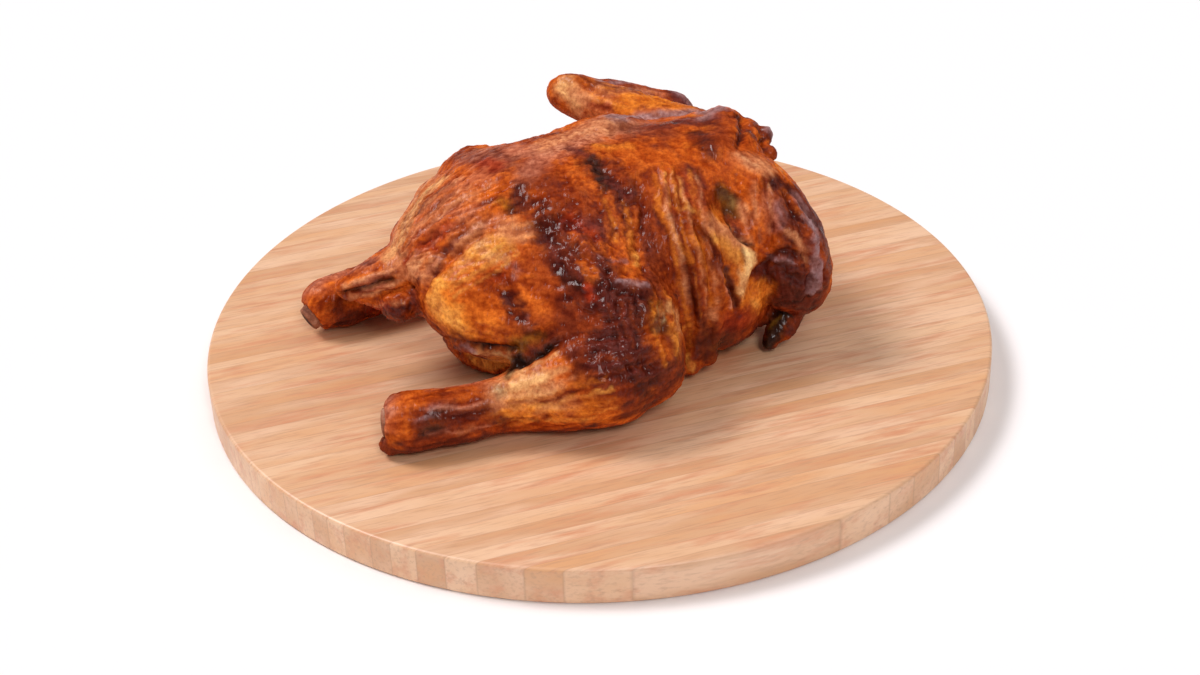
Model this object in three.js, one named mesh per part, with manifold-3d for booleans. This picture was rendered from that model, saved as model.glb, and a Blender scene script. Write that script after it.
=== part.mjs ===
// A whole grilled chicken lying breast down on a round board of glued bamboo strips.
// Millimetres, +Z up. The origin is the centre of the board's underside.
import * as THREE from "three";
import { mergeVertices } from "three/addons/utils/BufferGeometryUtils.js";
import Module from "manifold-3d";

const wasm = await Module();
wasm.setup();

const BOARD_DIAMETER = 360;
const BOARD_THICKNESS = 17.5;
const BOARD_EDGE_ROUND = 1.6;
const BOARD_SIDES = 96;
const BOARD_EDGE_STEPS = 3;

// The bird has a frame of its own: +X towards the neck, +Y towards its far side, Z = 0 on the board.
const BIRD_TURN = THREE.MathUtils.degToRad(18);
const BIRD_PLACE = [-1, 2];
const REST_GAP = 0.3;

// About how long the sides of the skin's facets are, and how few a small section may have.
const FACET = 7.8;
const LEAST_SIDES = 8;
const LEAST_STEPS = 4;
const CAP_STEPS = 4;

// The trunk's sections, from the rump to the neck: place along the body, its middle line across,
// half width, and the heights of its back, of its widest line and of its breast.
const TRUNK = [
  { x: -90, y: 2, wide: 13, back: 60, middle: 49, breast: 38 },
  { x: -82, y: 1, wide: 30, back: 67, middle: 46, breast: 26 },
  { x: -64, y: 1, wide: 43, back: 80.5, middle: 43, breast: 15 },
  { x: -40, y: 0, wide: 54.5, back: 89.5, middle: 40, breast: 4 },
  { x: -8, y: -3, wide: 57, back: 91.5, middle: 37, breast: -3 },
  { x: 25, y: -6, wide: 61, back: 91, middle: 32, breast: -6 },
  { x: 50, y: -6, wide: 58, back: 91, middle: 31, breast: -6 },
  { x: 66, y: -4, wide: 46, back: 91.5, middle: 34, breast: -2 },
  { x: 76, y: -2, wide: 33, back: 84, middle: 41, breast: 8 },
  { x: 81, y: 0, wide: 16, back: 70, middle: 46, breast: 24 },
];
const TRUNK_SQUARENESS = 2.2;

// Limbs and folds. Each station holds the middle of an oval section and its half width and half height.
// "blunt" is how far the first end stands out for its size: 1 is a half round, less is a flat cut.
const NEAR_DRUMSTICK = {
  blunt: 0.25,
  stations: [
    { at: [-114, -63, 13.2], wide: 10.5, high: 12 },
    { at: [-106, -65.3, 13.5], wide: 12.5, high: 13.5 },
    { at: [-88, -68.5, 13.8], wide: 11, high: 12.5 },
    { at: [-68, -71, 15], wide: 11, high: 12.5 },
    { at: [-52, -72.5, 18], wide: 16, high: 17 },
    { at: [-36, -75, 22], wide: 22, high: 21 },
    { at: [-20, -77, 24.5], wide: 24, high: 23.5 },
    { at: [-5, -77, 26], wide: 19, high: 21 },
  ],
};
const NEAR_THIGH = {
  stations: [
    { at: [-24, -20, 50], wide: 24, high: 20 },
    { at: [-18, -42, 50], wide: 30, high: 26 },
    { at: [-11, -62, 40], wide: 28, high: 26 },
    { at: [-7, -75, 30], wide: 22, high: 21 },
  ],
};
// Skin and meat between the hip and the drumstick.
const NEAR_WEB = {
  stations: [
    { at: [-62, -36, 42], wide: 22, high: 20 },
    { at: [-42, -52, 38], wide: 20, high: 18 },
    { at: [-24, -62, 36], wide: 20, high: 18 },
  ],
};
const FAR_DRUMSTICK = {
  blunt: 0.25,
  stations: [
    { at: [-124.5, 38.5, 9.5], wide: 8.5, high: 9.5 },
    { at: [-117, 40.5, 13], wide: 11.5, high: 13 },
    { at: [-98, 44, 13.5], wide: 12, high: 12.5 },
    { at: [-78, 48, 14], wide: 12, high: 13 },
    { at: [-60, 53, 17], wide: 16, high: 17 },
    { at: [-42, 60, 21], wide: 22, high: 22 },
    { at: [-24, 65, 24], wide: 24, high: 24 },
    { at: [-12, 66, 26], wide: 18, high: 21 },
  ],
};
const FAR_THIGH = {
  stations: [
    { at: [-34, 20, 52], wide: 28, high: 25 },
    { at: [-29, 36, 51], wide: 32, high: 25 },
    { at: [-20, 52, 40], wide: 29, high: 25 },
    { at: [-14, 63, 30], wide: 22, high: 22 },
  ],
};
const TAIL = {
  stations: [
    { at: [-74, 2, 52], wide: 20, high: 13 },
    { at: [-88, 2, 49], wide: 14, high: 9 },
    { at: [-102, 2, 46], wide: 11, high: 7 },
    { at: [-114, 2, 43], wide: 6, high: 4.5 },
  ],
};
const TAIL_UNDERSIDE = {
  stations: [
    { at: [-76, -4, 38], wide: 14, high: 10 },
    { at: [-88, -2, 35], wide: 12, high: 8 },
    { at: [-100, 1, 37], wide: 8, high: 5.5 },
    { at: [-110, 2, 40], wide: 4.5, high: 3 },
  ],
};
const VENT_FLAP = {
  stations: [
    { at: [-54, 26, 13], wide: 9, high: 11 },
    { at: [-64, 8, 12], wide: 8, high: 11 },
    { at: [-63, -14, 9.5], wide: 9, high: 9 },
    { at: [-46, -29, 9.5], wide: 9.5, high: 9 },
    { at: [-22, -38, 12], wide: 10, high: 12 },
  ],
};
const NEAR_UPPER_WING = {
  stations: [
    { at: [53, -18, 79.5], wide: 16, high: 13 },
    { at: [66, -33, 69.5], wide: 18, high: 15 },
    { at: [72.5, -45, 54], wide: 17.5, high: 18 },
    { at: [78, -49.5, 38], wide: 18, high: 17 },
  ],
};
const NEAR_FOREARM = {
  stations: [
    { at: [70, -54, 33], wide: 8, high: 11 },
    { at: [81, -50.5, 31], wide: 13, high: 15 },
    { at: [88, -42, 29], wide: 10, high: 12 },
  ],
};
const NEAR_WING_TIP = {
  stations: [
    { at: [79, -45, 20], wide: 7.5, high: 7 },
    { at: [71, -52, 12], wide: 5.5, high: 5 },
    { at: [63, -56, 6], wide: 3.5, high: 3.5 },
  ],
};
const NEAR_WING_THUMB = {
  stations: [
    { at: [80, -47, 19], wide: 5.5, high: 5 },
    { at: [75, -53, 12], wide: 4, high: 3.5 },
    { at: [70.5, -57, 8], wide: 2.3, high: 2.3 },
  ],
};
const FAR_UPPER_WING = {
  stations: [
    { at: [66, 40, 62], wide: 15, high: 14 },
    { at: [42, 60, 69], wide: 14, high: 11.5 },
    { at: [13, 82.5, 78], wide: 10, high: 11 },
  ],
};
const FAR_FOREARM = {
  stations: [
    { at: [17, 86, 72], wide: 9, high: 9 },
    { at: [42, 86, 65], wide: 13, high: 9.5 },
    { at: [70, 76, 58], wide: 10, high: 9 },
  ],
};
const FAR_WING_TIP = {
  stations: [
    { at: [72, 72, 54], wide: 8, high: 7 },
    { at: [68, 64, 42], wide: 6, high: 5.5 },
    { at: [60, 62, 30], wide: 3.5, high: 3.5 },
  ],
};
const NECK = {
  stations: [
    { at: [54, 5, 75.5], wide: 22, high: 15 },
    { at: [67, 6, 78.5], wide: 16, high: 13 },
    { at: [75, 5, 77.5], wide: 9, high: 9 },
  ],
};
const NECK_SCRAPS = [
  {
    stations: [
      { at: [67, 9, 81], wide: 6, high: 5 },
      { at: [75, 6, 81.5], wide: 3.5, high: 3 },
    ],
  },
  {
    stations: [
      { at: [69, 2, 80], wide: 6, high: 5 },
      { at: [78, 0, 81], wide: 4.5, high: 4 },
      { at: [85, -2, 80], wide: 2.8, high: 2.5 },
    ],
  },
  {
    stations: [
      { at: [70, -4, 76], wide: 7, high: 6 },
      { at: [77, -9, 77], wide: 4.5, high: 4 },
      { at: [82, -12, 76], wide: 2.8, high: 2.5 },
    ],
  },
];

// Long folds of loose skin that run down the flank between thigh and wing.
const FLANK_FOLDS = [
  {
    stations: [
      { at: [30, -25, 84], wide: 3, high: 4 },
      { at: [27, -46, 75], wide: 4, high: 4.5 },
      { at: [25, -60, 59], wide: 4.5, high: 4.5 },
      { at: [25, -65, 38], wide: 4, high: 4.5 },
      { at: [26, -63, 20], wide: 4, high: 4.5 },
      { at: [22, -64, 9], wide: 5, high: 5 },
    ],
  },
  {
    stations: [
      { at: [37, -40, 79], wide: 3, high: 4 },
      { at: [34.5, -55, 67], wide: 3.5, high: 4.5 },
      { at: [34.5, -64, 52], wide: 4, high: 4.5 },
      { at: [33.5, -66, 36], wide: 3.5, high: 4 },
      { at: [32.5, -65, 24], wide: 3, high: 4 },
      { at: [29.5, -62, 11], wide: 5, high: 6 },
    ],
  },
];

// Rounded lumps: the middle and the three half sizes. They fill out the near hip, the far hip twice, the far
// shoulder blade, the root of the tail and the breast behind the near wing.
const LUMPS = [
  { at: [-53, -26, 44], half: [34, 28, 27.5] },
  { at: [-54, 25, 47], half: [27, 26, 27] },
  { at: [-42, 31, 50], half: [24, 26, 33] },
  { at: [12, 20, 68], half: [34, 26, 23.7] },
  { at: [-93, -9, 37], half: [9, 9, 8] },
  { at: [66, -38, 16], half: [12, 11, 9.5] },
];

// Hollows cut into the skin, shaped like limbs.
const VENT = {
  stations: [
    { at: [-100, 4, 27], wide: 9, high: 6 },
    { at: [-78, -4, 25], wide: 12, high: 6 },
    { at: [-60, -26, 19], wide: 8, high: 4.5 },
    { at: [-38, -46, 17], wide: 6, high: 3.5 },
  ],
};
const TAIL_SLIT = {
  stations: [
    { at: [-112, -6, 41.5], wide: 4, high: 1.2 },
    { at: [-99, -11, 44], wide: 5, high: 1.9 },
    { at: [-86, -16, 47], wide: 4, high: 1.2 },
  ],
};
const ARMPIT = {
  stations: [
    { at: [42, -47, 84], wide: 5, high: 5 },
    { at: [47, -50, 77], wide: 8, high: 8 },
    { at: [51, -58, 65], wide: 4, high: 5 },
    { at: [56, -64, 52], wide: 2.5, high: 4 },
    { at: [59, -66, 42], wide: 2, high: 3 },
  ],
};

// The leg bones run through the drumsticks, each knuckle standing a little out of the cut ankle.
const BONE_GAP = 0.35;
const NEAR_LEG_BONE = {
  blunt: 0.2,
  stations: [
    { at: [-116.2, -62.6, 13.2], wide: 6, high: 6.6 },
    { at: [-110, -64.4, 13.4], wide: 6.8, high: 7.2 },
    { at: [-99, -66.7, 13.5], wide: 4.6, high: 4.8 },
    { at: [-72, -70.5, 14.4], wide: 4, high: 4.2 },
    { at: [-44, -74, 19.5], wide: 4.6, high: 4.8 },
    { at: [-30, -76, 22.5], wide: 7, high: 7.4 },
  ],
};
const FAR_LEG_BONE = {
  blunt: 0.2,
  stations: [
    { at: [-127, 37.8, 8.6], wide: 5.4, high: 6 },
    { at: [-118, 40.3, 12.6], wide: 6.4, high: 7 },
    { at: [-106, 42.8, 13.4], wide: 4.8, high: 5 },
    { at: [-79, 48, 14.4], wide: 4.2, high: 4.4 },
    { at: [-52, 56, 18.8], wide: 4.8, high: 5 },
    { at: [-38, 61, 21.8], wide: 7.2, high: 7.6 },
  ],
};

// A closed mesh made solid, its shared corners merged and the triangles that vanish at a pole dropped.
function solid(geometry) {
  geometry.deleteAttribute("normal");
  geometry.deleteAttribute("uv");
  const merged = mergeVertices(geometry, 1e-4);
  const corners = merged.index.array;
  const kept = [];
  for (let i = 0; i < corners.length; i += 3) {
    const [a, b, c] = corners.slice(i, i + 3);
    if (a !== b && b !== c && c !== a) kept.push(a, b, c);
  }
  return new wasm.Manifold(
    new wasm.Mesh({
      numProp: 3,
      vertProperties: merged.attributes.position.array,
      triVerts: new Uint32Array(kept),
    }),
  );
}

// Rings of equal length joined into one skin, with a point at each end.
function skinOfRings(rings) {
  const sides = rings[0].length;
  const middle = (ring) =>
    ring.reduce((sum, p) => sum.add(p), new THREE.Vector3()).divideScalar(sides);
  const points = [middle(rings[0]), ...rings.flat(), middle(rings[rings.length - 1])];
  const last = points.length - 1;
  const faces = [];
  for (let k = 0; k < sides; k++) {
    const next = (k + 1) % sides;
    faces.push(0, 1 + next, 1 + k);
    for (let r = 0; r < rings.length - 1; r++) {
      const a = 1 + r * sides + k;
      const b = 1 + r * sides + next;
      faces.push(a, b, a + sides, b, b + sides, a + sides);
    }
    faces.push(last, last - sides + k, last - sides + next);
  }
  const geometry = new THREE.BufferGeometry().setFromPoints(points);
  geometry.setIndex(faces);
  return geometry;
}

const steps = (length) => Math.max(LEAST_STEPS, Math.round(length / FACET));

const sides = (wide, high) =>
  Math.max(LEAST_SIDES, Math.round((2 * Math.PI * Math.hypot(wide, high)) / Math.SQRT2 / FACET));

// A smooth curve through one vector for each station.
const through = (stations, vector) =>
  new THREE.CatmullRomCurve3(
    stations.map((s) => new THREE.Vector3(...vector(s))), false, "catmullrom", 0.5,
  );

// A limb: oval sections square to a smooth line through its stations, each end a rounded cap.
function limb({ stations, blunt = 1 }) {
  const line = through(stations, (s) => s.at);
  const sizes = through(stations, (s) => [s.wide, s.high, 0]);
  const largest = stations.reduce((a, b) => (a.wide * a.high > b.wide * b.high ? a : b));
  const around = sides(largest.wide, largest.high);
  const along = steps(line.getLength());
  const up = new THREE.Vector3(0, 0, 1);
  const ring = (t, out, shrink) => {
    const forward = line.getTangent(t);
    const side = new THREE.Vector3().crossVectors(up, forward).normalize();
    const top = new THREE.Vector3().crossVectors(forward, side);
    const size = sizes.getPoint(t);
    const centre = line.getPoint(t).addScaledVector(forward, out * Math.min(size.x, size.y));
    return Array.from({ length: around }, (_, k) => {
      const angle = (2 * Math.PI * k) / around;
      return centre
        .clone()
        .addScaledVector(side, shrink * size.x * Math.cos(angle))
        .addScaledVector(top, shrink * size.y * Math.sin(angle));
    });
  };
  const cap = (t, reach) =>
    Array.from({ length: CAP_STEPS - 1 }, (_, c) => {
      const angle = ((c + 1) / CAP_STEPS) * (Math.PI / 2);
      return ring(t, reach * Math.cos(angle), Math.sin(angle));
    });
  const middle = Array.from({ length: along + 1 }, (_, i) => ring(i / along, 0, 1));
  return solid(skinOfRings([...cap(0, -blunt), ...middle, ...cap(1, 1).reverse()]));
}

// The trunk: upright rounded sections along the bird's length.
function trunk() {
  const plan = through(TRUNK, (s) => [s.x, s.y, s.wide]);
  const heights = through(TRUNK, (s) => [s.back, s.middle, s.breast]);
  const widest = Math.max(...TRUNK.map((s) => s.wide));
  const around = sides(widest, widest);
  const along = steps(plan.getLength());
  const squared = (value) => Math.sign(value) * Math.abs(value) ** (2 / TRUNK_SQUARENESS);
  const rings = Array.from({ length: along + 1 }, (_, i) => {
    const { x, y, z: wide } = plan.getPoint(i / along);
    const { x: back, y: middle, z: breast } = heights.getPoint(i / along);
    return Array.from({ length: around }, (_, k) => {
      const angle = (2 * Math.PI * k) / around;
      const rise = squared(Math.sin(angle));
      const reach = rise > 0 ? back - middle : middle - breast;
      return new THREE.Vector3(x, y + wide * squared(Math.cos(angle)), middle + reach * rise);
    });
  });
  return solid(skinOfRings(rings));
}

function lump({ at, half }) {
  const around = sides(half[0], half[1]);
  const sphere = new THREE.SphereGeometry(1, around, Math.round(around / 2));
  return solid(sphere.scale(...half).translate(...at));
}

// The channel a bone lies in: the bone's own shape with the gap all round it.
const boneChannel = ({ stations, ...shape }) =>
  limb({
    ...shape,
    stations: stations.map((s) => ({ ...s, wide: s.wide + BONE_GAP, high: s.high + BONE_GAP })),
  });

function chicken() {
  const limbs = [
    NEAR_DRUMSTICK, NEAR_THIGH, NEAR_WEB, FAR_DRUMSTICK, FAR_THIGH,
    TAIL, TAIL_UNDERSIDE, VENT_FLAP,
    NEAR_UPPER_WING, NEAR_FOREARM, NEAR_WING_TIP, NEAR_WING_THUMB,
    FAR_UPPER_WING, FAR_FOREARM, FAR_WING_TIP,
    NECK, ...NECK_SCRAPS, ...FLANK_FOLDS,
  ];
  let whole = trunk();
  for (const part of [...limbs.map(limb), ...LUMPS.map(lump)]) whole = whole.add(part);
  const hollows = [VENT, TAIL_SLIT, ARMPIT].map(limb);
  const channels = [NEAR_LEG_BONE, FAR_LEG_BONE].map(boneChannel);
  for (const cut of [...hollows, ...channels]) whole = whole.subtract(cut);
  const depth = 60;
  const under = new THREE.BoxGeometry(BOARD_DIAMETER, BOARD_DIAMETER, depth);
  return whole.subtract(solid(under.translate(0, 0, REST_GAP - depth / 2)));
}

function meshOf(name, made, material) {
  const { numProp, vertProperties, triVerts } = made.getMesh();
  const count = vertProperties.length / numProp;
  const positions = new Float32Array(count * 3);
  for (let i = 0; i < count; i++) {
    positions.set(vertProperties.subarray(i * numProp, i * numProp + 3), i * 3);
  }
  const geometry = new THREE.BufferGeometry()
    .setAttribute("position", new THREE.BufferAttribute(positions, 3))
    .setIndex(new THREE.BufferAttribute(triVerts, 1));
  geometry.computeVertexNormals();
  const mesh = new THREE.Mesh(geometry, material);
  mesh.name = name;
  return mesh;
}

// The board: a disc with its top and bottom edges rounded.
function board() {
  const radius = BOARD_DIAMETER / 2;
  const r = BOARD_EDGE_ROUND;
  const edge = (height, from) =>
    Array.from({ length: BOARD_EDGE_STEPS + 1 }, (_, i) => {
      const angle = from + (i / BOARD_EDGE_STEPS) * (Math.PI / 2);
      return new THREE.Vector2(radius - r + r * Math.cos(angle), height + r * Math.sin(angle));
    });
  const profile = [
    new THREE.Vector2(0, 0),
    ...edge(r, -Math.PI / 2),
    ...edge(BOARD_THICKNESS - r, 0),
    new THREE.Vector2(0, BOARD_THICKNESS),
  ];
  return solid(new THREE.LatheGeometry(profile, BOARD_SIDES).rotateX(Math.PI / 2));
}

const WOOD = new THREE.MeshStandardMaterial({ color: 0xd9a878, roughness: 0.55, metalness: 0 });
const SKIN = new THREE.MeshStandardMaterial({ color: 0xa4480f, roughness: 0.35, metalness: 0 });
const BONE = new THREE.MeshStandardMaterial({ color: 0xcbb9a2, roughness: 0.6, metalness: 0 });

const whole = new THREE.Group();
whole.add(meshOf("board", board(), WOOD));
const bird = new THREE.Group();
bird.position.set(...BIRD_PLACE, BOARD_THICKNESS);
bird.rotation.z = BIRD_TURN;
bird.add(meshOf("chicken", chicken(), SKIN));
bird.add(meshOf("near_leg_bone", limb(NEAR_LEG_BONE), BONE));
bird.add(meshOf("far_leg_bone", limb(FAR_LEG_BONE), BONE));
whole.add(bird);

export default whole;
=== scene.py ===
# A grilled chicken lying breast down on a round board of glued bamboo strips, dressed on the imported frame.
import math

import bpy
import numpy as np
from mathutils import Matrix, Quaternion, Vector
from mathutils.bvhtree import BVHTree


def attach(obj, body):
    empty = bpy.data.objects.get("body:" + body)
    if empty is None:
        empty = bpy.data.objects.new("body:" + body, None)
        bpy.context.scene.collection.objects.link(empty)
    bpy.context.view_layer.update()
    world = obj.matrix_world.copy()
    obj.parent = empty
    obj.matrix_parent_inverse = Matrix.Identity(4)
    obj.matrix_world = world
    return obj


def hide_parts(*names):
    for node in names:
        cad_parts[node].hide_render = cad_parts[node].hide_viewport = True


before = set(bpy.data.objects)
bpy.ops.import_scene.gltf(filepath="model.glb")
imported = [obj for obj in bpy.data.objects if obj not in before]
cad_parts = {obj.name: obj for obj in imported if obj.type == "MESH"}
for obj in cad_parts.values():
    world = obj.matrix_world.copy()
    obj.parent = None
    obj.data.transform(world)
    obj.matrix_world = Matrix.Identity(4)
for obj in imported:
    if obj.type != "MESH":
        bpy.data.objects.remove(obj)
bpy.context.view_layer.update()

# The camera. It stands in front of the board and looks down on it, a little tilted, as the photograph was
# taken. Everything is sharp, and the frame isn't shifted.
CAMERA_AT = Vector((0.0, -0.8042, 0.5300))
CAMERA_AIM = Vector((0.0005, -0.0132, 0.0175))
CAMERA_ROLL = math.radians(-2.27)
CAMERA_LENS = 61.67
SENSOR_WIDTH = 36.0
PHOTO_WIDTH = 1200
PHOTO_HEIGHT = 675

camera = bpy.data.objects.new("camera", bpy.data.cameras.new("camera"))
camera.data.lens = CAMERA_LENS
camera.data.sensor_width = SENSOR_WIDTH
camera.data.dof.use_dof = False
camera.location = CAMERA_AT
camera.rotation_mode = "QUATERNION"
camera.rotation_quaternion = (
    (CAMERA_AIM - CAMERA_AT).to_track_quat("-Z", "Y") @ Quaternion((0, 0, 1), CAMERA_ROLL)
)
bpy.context.scene.collection.objects.link(camera)
bpy.context.scene.camera = camera
bpy.context.scene.view_settings.view_transform = "Standard"

# The floor and the light: a wide sheet of white paper under a dim white sky, and four soft lights. The main
# one stands high on the left behind the board, with a smaller one in its middle; a wide one hangs overhead,
# and the one in front opens the shadows.
FLOOR_RADIUS = 6.0
FLOOR_DROP = 0.0002
FLOOR_WHITE = (0.93, 0.93, 0.93, 1)
SKY_WHITE = (1, 1, 1, 1)
SKY_STRENGTH = 0.2
LIGHT_COLOUR = (1.0, 0.94, 0.95)
# Where a light stands as seen from the board, the angle in degrees that it fills, and its strength.
LIGHTS = {
    "key_light": {"towards": (-0.55, 0.2, 0.8), "spread": 26, "strength": 1.6},
    "key_middle": {"towards": (-0.55, 0.2, 0.8), "spread": 13, "strength": 0.5},
    "top_light": {"towards": (0.4, 0.1, 1.0), "spread": 50, "strength": 0.5},
    "front_light": {"towards": (0.25, -0.8, 0.85), "spread": 18, "strength": 1.1},
}


def new_material(name, finish):
    """A material, its tree and its shader, with the finish set on the shader's own sockets."""
    made = bpy.data.materials.new(name)
    made.use_nodes = True
    shader = made.node_tree.nodes["Principled BSDF"]
    for socket, value in finish.items():
        shader.inputs[socket].default_value = value
    return made, made.node_tree, shader


world = bpy.data.worlds.new("sky")
world.use_nodes = True
world.node_tree.nodes["Background"].inputs["Color"].default_value = SKY_WHITE
world.node_tree.nodes["Background"].inputs["Strength"].default_value = SKY_STRENGTH
bpy.context.scene.world = world
for name, sizes in LIGHTS.items():
    light_data = bpy.data.lights.new(name, "SUN")
    light_data.angle = math.radians(sizes["spread"])
    light_data.energy = sizes["strength"]
    light_data.color = LIGHT_COLOUR
    light = bpy.data.objects.new(name, light_data)
    light.rotation_mode = "QUATERNION"
    light.rotation_quaternion = (-Vector(sizes["towards"])).to_track_quat("-Z", "Y")
    bpy.context.scene.collection.objects.link(light)

floor_paper, _, _ = new_material("floor_paper", {"Base Color": FLOOR_WHITE, "Roughness": 1.0})
floor_mesh = bpy.data.meshes.new("floor")
floor_corners = [(-1, -1), (1, -1), (1, 1), (-1, 1)]
floor_mesh.from_pydata(
    [(x * FLOOR_RADIUS, y * FLOOR_RADIUS, -FLOOR_DROP) for x, y in floor_corners], [], [(0, 1, 2, 3)]
)
floor_mesh.materials.append(floor_paper)
floor = bpy.data.objects.new("floor", floor_mesh)
bpy.context.scene.collection.objects.link(floor)

# The board: strips of bamboo glued side by side, turned to a disc, its two edges rounded by sandpaper.
# The strips run a little askew to the front. Oiled and wiped, so it has a low sheen.
MM = 0.001
BOARD_RADIUS = 180.0
BOARD_THICKNESS = 17.5
BOARD_EDGE = 1.6
BOARD_SIDES = 480
BOARD_EDGE_STEPS = 8
BOARD_FLAT_RINGS = 6
FIRST_RING = 0.02
GRAIN_TURN = math.radians(17.3)
GRAIN_BEND = (0, 0.006, 0.006)
STRIP_WIDTH = 8.2 * MM
STRIP_UNEVENNESS = 0.75
STRIP_SHIFT = (0.3, 0.3, 0.3)
JOINT_WIDTH = 0.35 * MM
STRIP_TONES = [
    (0.0, (0.7, 0.39, 0.205, 1)), (0.35, (0.77, 0.45, 0.245, 1)),
    (0.7, (0.82, 0.5, 0.285, 1)), (1.0, (0.87, 0.56, 0.335, 1)),
]
# Noise in each strip: how many humps to a metre along it, across it and up it, and its detail.
GRAIN_NOISE = {
    "zones": ((10, 46, 46), 3.0),
    "streaks": ((26, 200, 130), 4.0),
    "fibres": ((75, 1000, 700), 3.0),
}
# What lies over a strip's tone: the noise that places it, where it starts and is full, strength and colour.
WOOD_TINTS = {
    "pale zones": ("zones", 0.5, 0.66, 0.65, (0.92, 0.61, 0.4, 1)),
    "ochre zones": ("zones", 0.5, 0.34, 0.6, (0.76, 0.37, 0.15, 1)),
    "reddish streaks": ("streaks", 0.5, 0.7, 0.9, (0.7, 0.3, 0.15, 1)),
    "brown fibres": ("fibres", 0.5, 0.8, 0.6, (0.48, 0.24, 0.14, 1)),
    "glue lines": ("joints", JOINT_WIDTH / STRIP_WIDTH, 0.0, 0.35, (0.42, 0.21, 0.12, 1)),
}


def put(tree, kind, inputs=None, **properties):
    """A new shader node. Each input is a value for its socket, or the socket that feeds it."""
    made = tree.nodes.new("ShaderNode" + kind)
    for name, value in properties.items():
        setattr(made, name, value)
    for name, value in (inputs or {}).items():
        if isinstance(value, bpy.types.NodeSocket):
            tree.links.new(value, made.inputs[name])
        else:
            made.inputs[name].default_value = value
    return made


def mix(tree, factor, a, b, way="MIX"):
    """The colour a turned into b, or combined with it, by the factor."""
    made = put(tree, "Mix", data_type="RGBA", blend_type=way)
    for index, value in ((0, factor), (6, a), (7, b)):
        if isinstance(value, bpy.types.NodeSocket):
            tree.links.new(value, made.inputs[index])
        else:
            made.inputs[index].default_value = value
    return made.outputs[2]


def mask(tree, value, start, end, strength):
    """0 where the value is at start, strength where it is at end, and in a straight line between them."""
    made = put(tree, "MapRange", {"Value": value, "From Min": start, "From Max": end, "To Max": strength})
    return made.outputs["Result"]


def ramp(tree, factor, stops):
    """A colour for each value of the factor, blended between the stops."""
    made = put(tree, "ValToRGB", {"Fac": factor})
    steps = made.color_ramp.elements
    while len(steps) < len(stops):
        steps.new(0.5)
    for step, (place, colour) in zip(steps, stops):
        step.position = place
        step.color = colour
    return made.outputs["Color"]


def bamboo_strips():
    """Each strip takes its tone and the shift of its grain by chance, and is dark where it meets the next."""
    bamboo, tree, shader = new_material("bamboo", {"Roughness": 0.44, "Specular IOR Level": 1.0})
    place = put(tree, "TexCoord").outputs["Object"]
    grain = put(tree, "Mapping", {"Vector": place, "Rotation": (0, 0, -GRAIN_TURN)}).outputs["Vector"]
    drift = put(tree, "TexNoise", {"Vector": grain, "Scale": 6.0, "Detail": 2.0}).outputs["Color"]
    bent = put(tree, "VectorMath", {0: drift, 1: GRAIN_BEND, 2: grain}, operation="MULTIPLY_ADD")
    across = put(tree, "SeparateXYZ", {"Vector": grain}).outputs["Y"]
    strip_place = put(tree, "Math", {0: across, 1: 1 / STRIP_WIDTH}, operation="MULTIPLY").outputs[0]
    strips = {"W": strip_place, "Scale": 1.0, "Randomness": STRIP_UNEVENNESS}
    chance = put(tree, "TexVoronoi", strips, voronoi_dimensions="1D").outputs["Color"]
    edges = put(tree, "TexVoronoi", strips, voronoi_dimensions="1D", feature="DISTANCE_TO_EDGE")
    tint = put(tree, "SeparateColor", {"Color": chance}).outputs["Red"]
    wood = ramp(tree, tint, STRIP_TONES)
    shift = put(tree, "VectorMath", {0: chance, 1: STRIP_SHIFT}, operation="MULTIPLY").outputs[0]
    own = put(tree, "VectorMath", {0: bent.outputs[0], 1: shift}, operation="ADD").outputs[0]
    layers = {"joints": edges.outputs["Distance"]}
    for name, (scale, detail) in GRAIN_NOISE.items():
        drawn_out = put(tree, "Mapping", {"Vector": own, "Scale": scale}).outputs["Vector"]
        humps = put(tree, "TexNoise", {"Vector": drawn_out, "Scale": 1.0, "Detail": detail, "Roughness": 0.6})
        layers[name] = humps.outputs["Fac"]
    for layer, start, end, strength, colour in WOOD_TINTS.values():
        wood = mix(tree, mask(tree, layers[layer], start, end, strength), wood, colour)
    tree.links.new(wood, shader.inputs["Base Color"])
    bump = put(tree, "Bump", {"Height": layers["fibres"], "Strength": 0.25, "Distance": 0.0002})
    tree.links.new(bump.outputs["Normal"], shader.inputs["Normal"])
    return bamboo


def closed_skin(rings):
    """Joins rings of equal length into a skin, with one point in the middle of the first and of the last.

    Ring r, corner k meets corner k + 1 and the same two corners of ring r + 1 in one four-sided face.
    """
    count, around = rings.shape[:2]
    points = np.concatenate([rings.reshape(-1, 3), rings[0].mean(0)[None], rings[-1].mean(0)[None]])
    here = np.arange(around)
    beside = (here + 1) % around
    start = np.arange(count - 1)[:, None] * around
    quads = np.stack([start + here, start + beside, start + around + beside, start + around + here], axis=-1)
    last = (count - 1) * around
    first_pole = np.stack([beside, here, np.full(around, count * around)], axis=-1)
    last_pole = np.stack([last + here, last + beside, np.full(around, count * around + 1)], axis=-1)
    return points, quads.reshape(-1, 4), np.concatenate([first_pole, last_pole])


def new_piece(name, skins, material):
    """One object from closed skins in millimetres, its faces smooth. Each skin's corners are counted on from
    those of the skins before it."""
    faces = []
    start = 0
    for points, quads, poles in skins:
        faces += (quads + start).tolist() + (poles + start).tolist()
        start += len(points)
    mesh = bpy.data.meshes.new(name)
    mesh.from_pydata(np.concatenate([skin[0] for skin in skins]) * MM, [], faces)
    mesh.shade_smooth()
    mesh.materials.append(material)
    piece = bpy.data.objects.new(name, mesh)
    bpy.context.scene.collection.objects.link(piece)
    return piece


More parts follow.
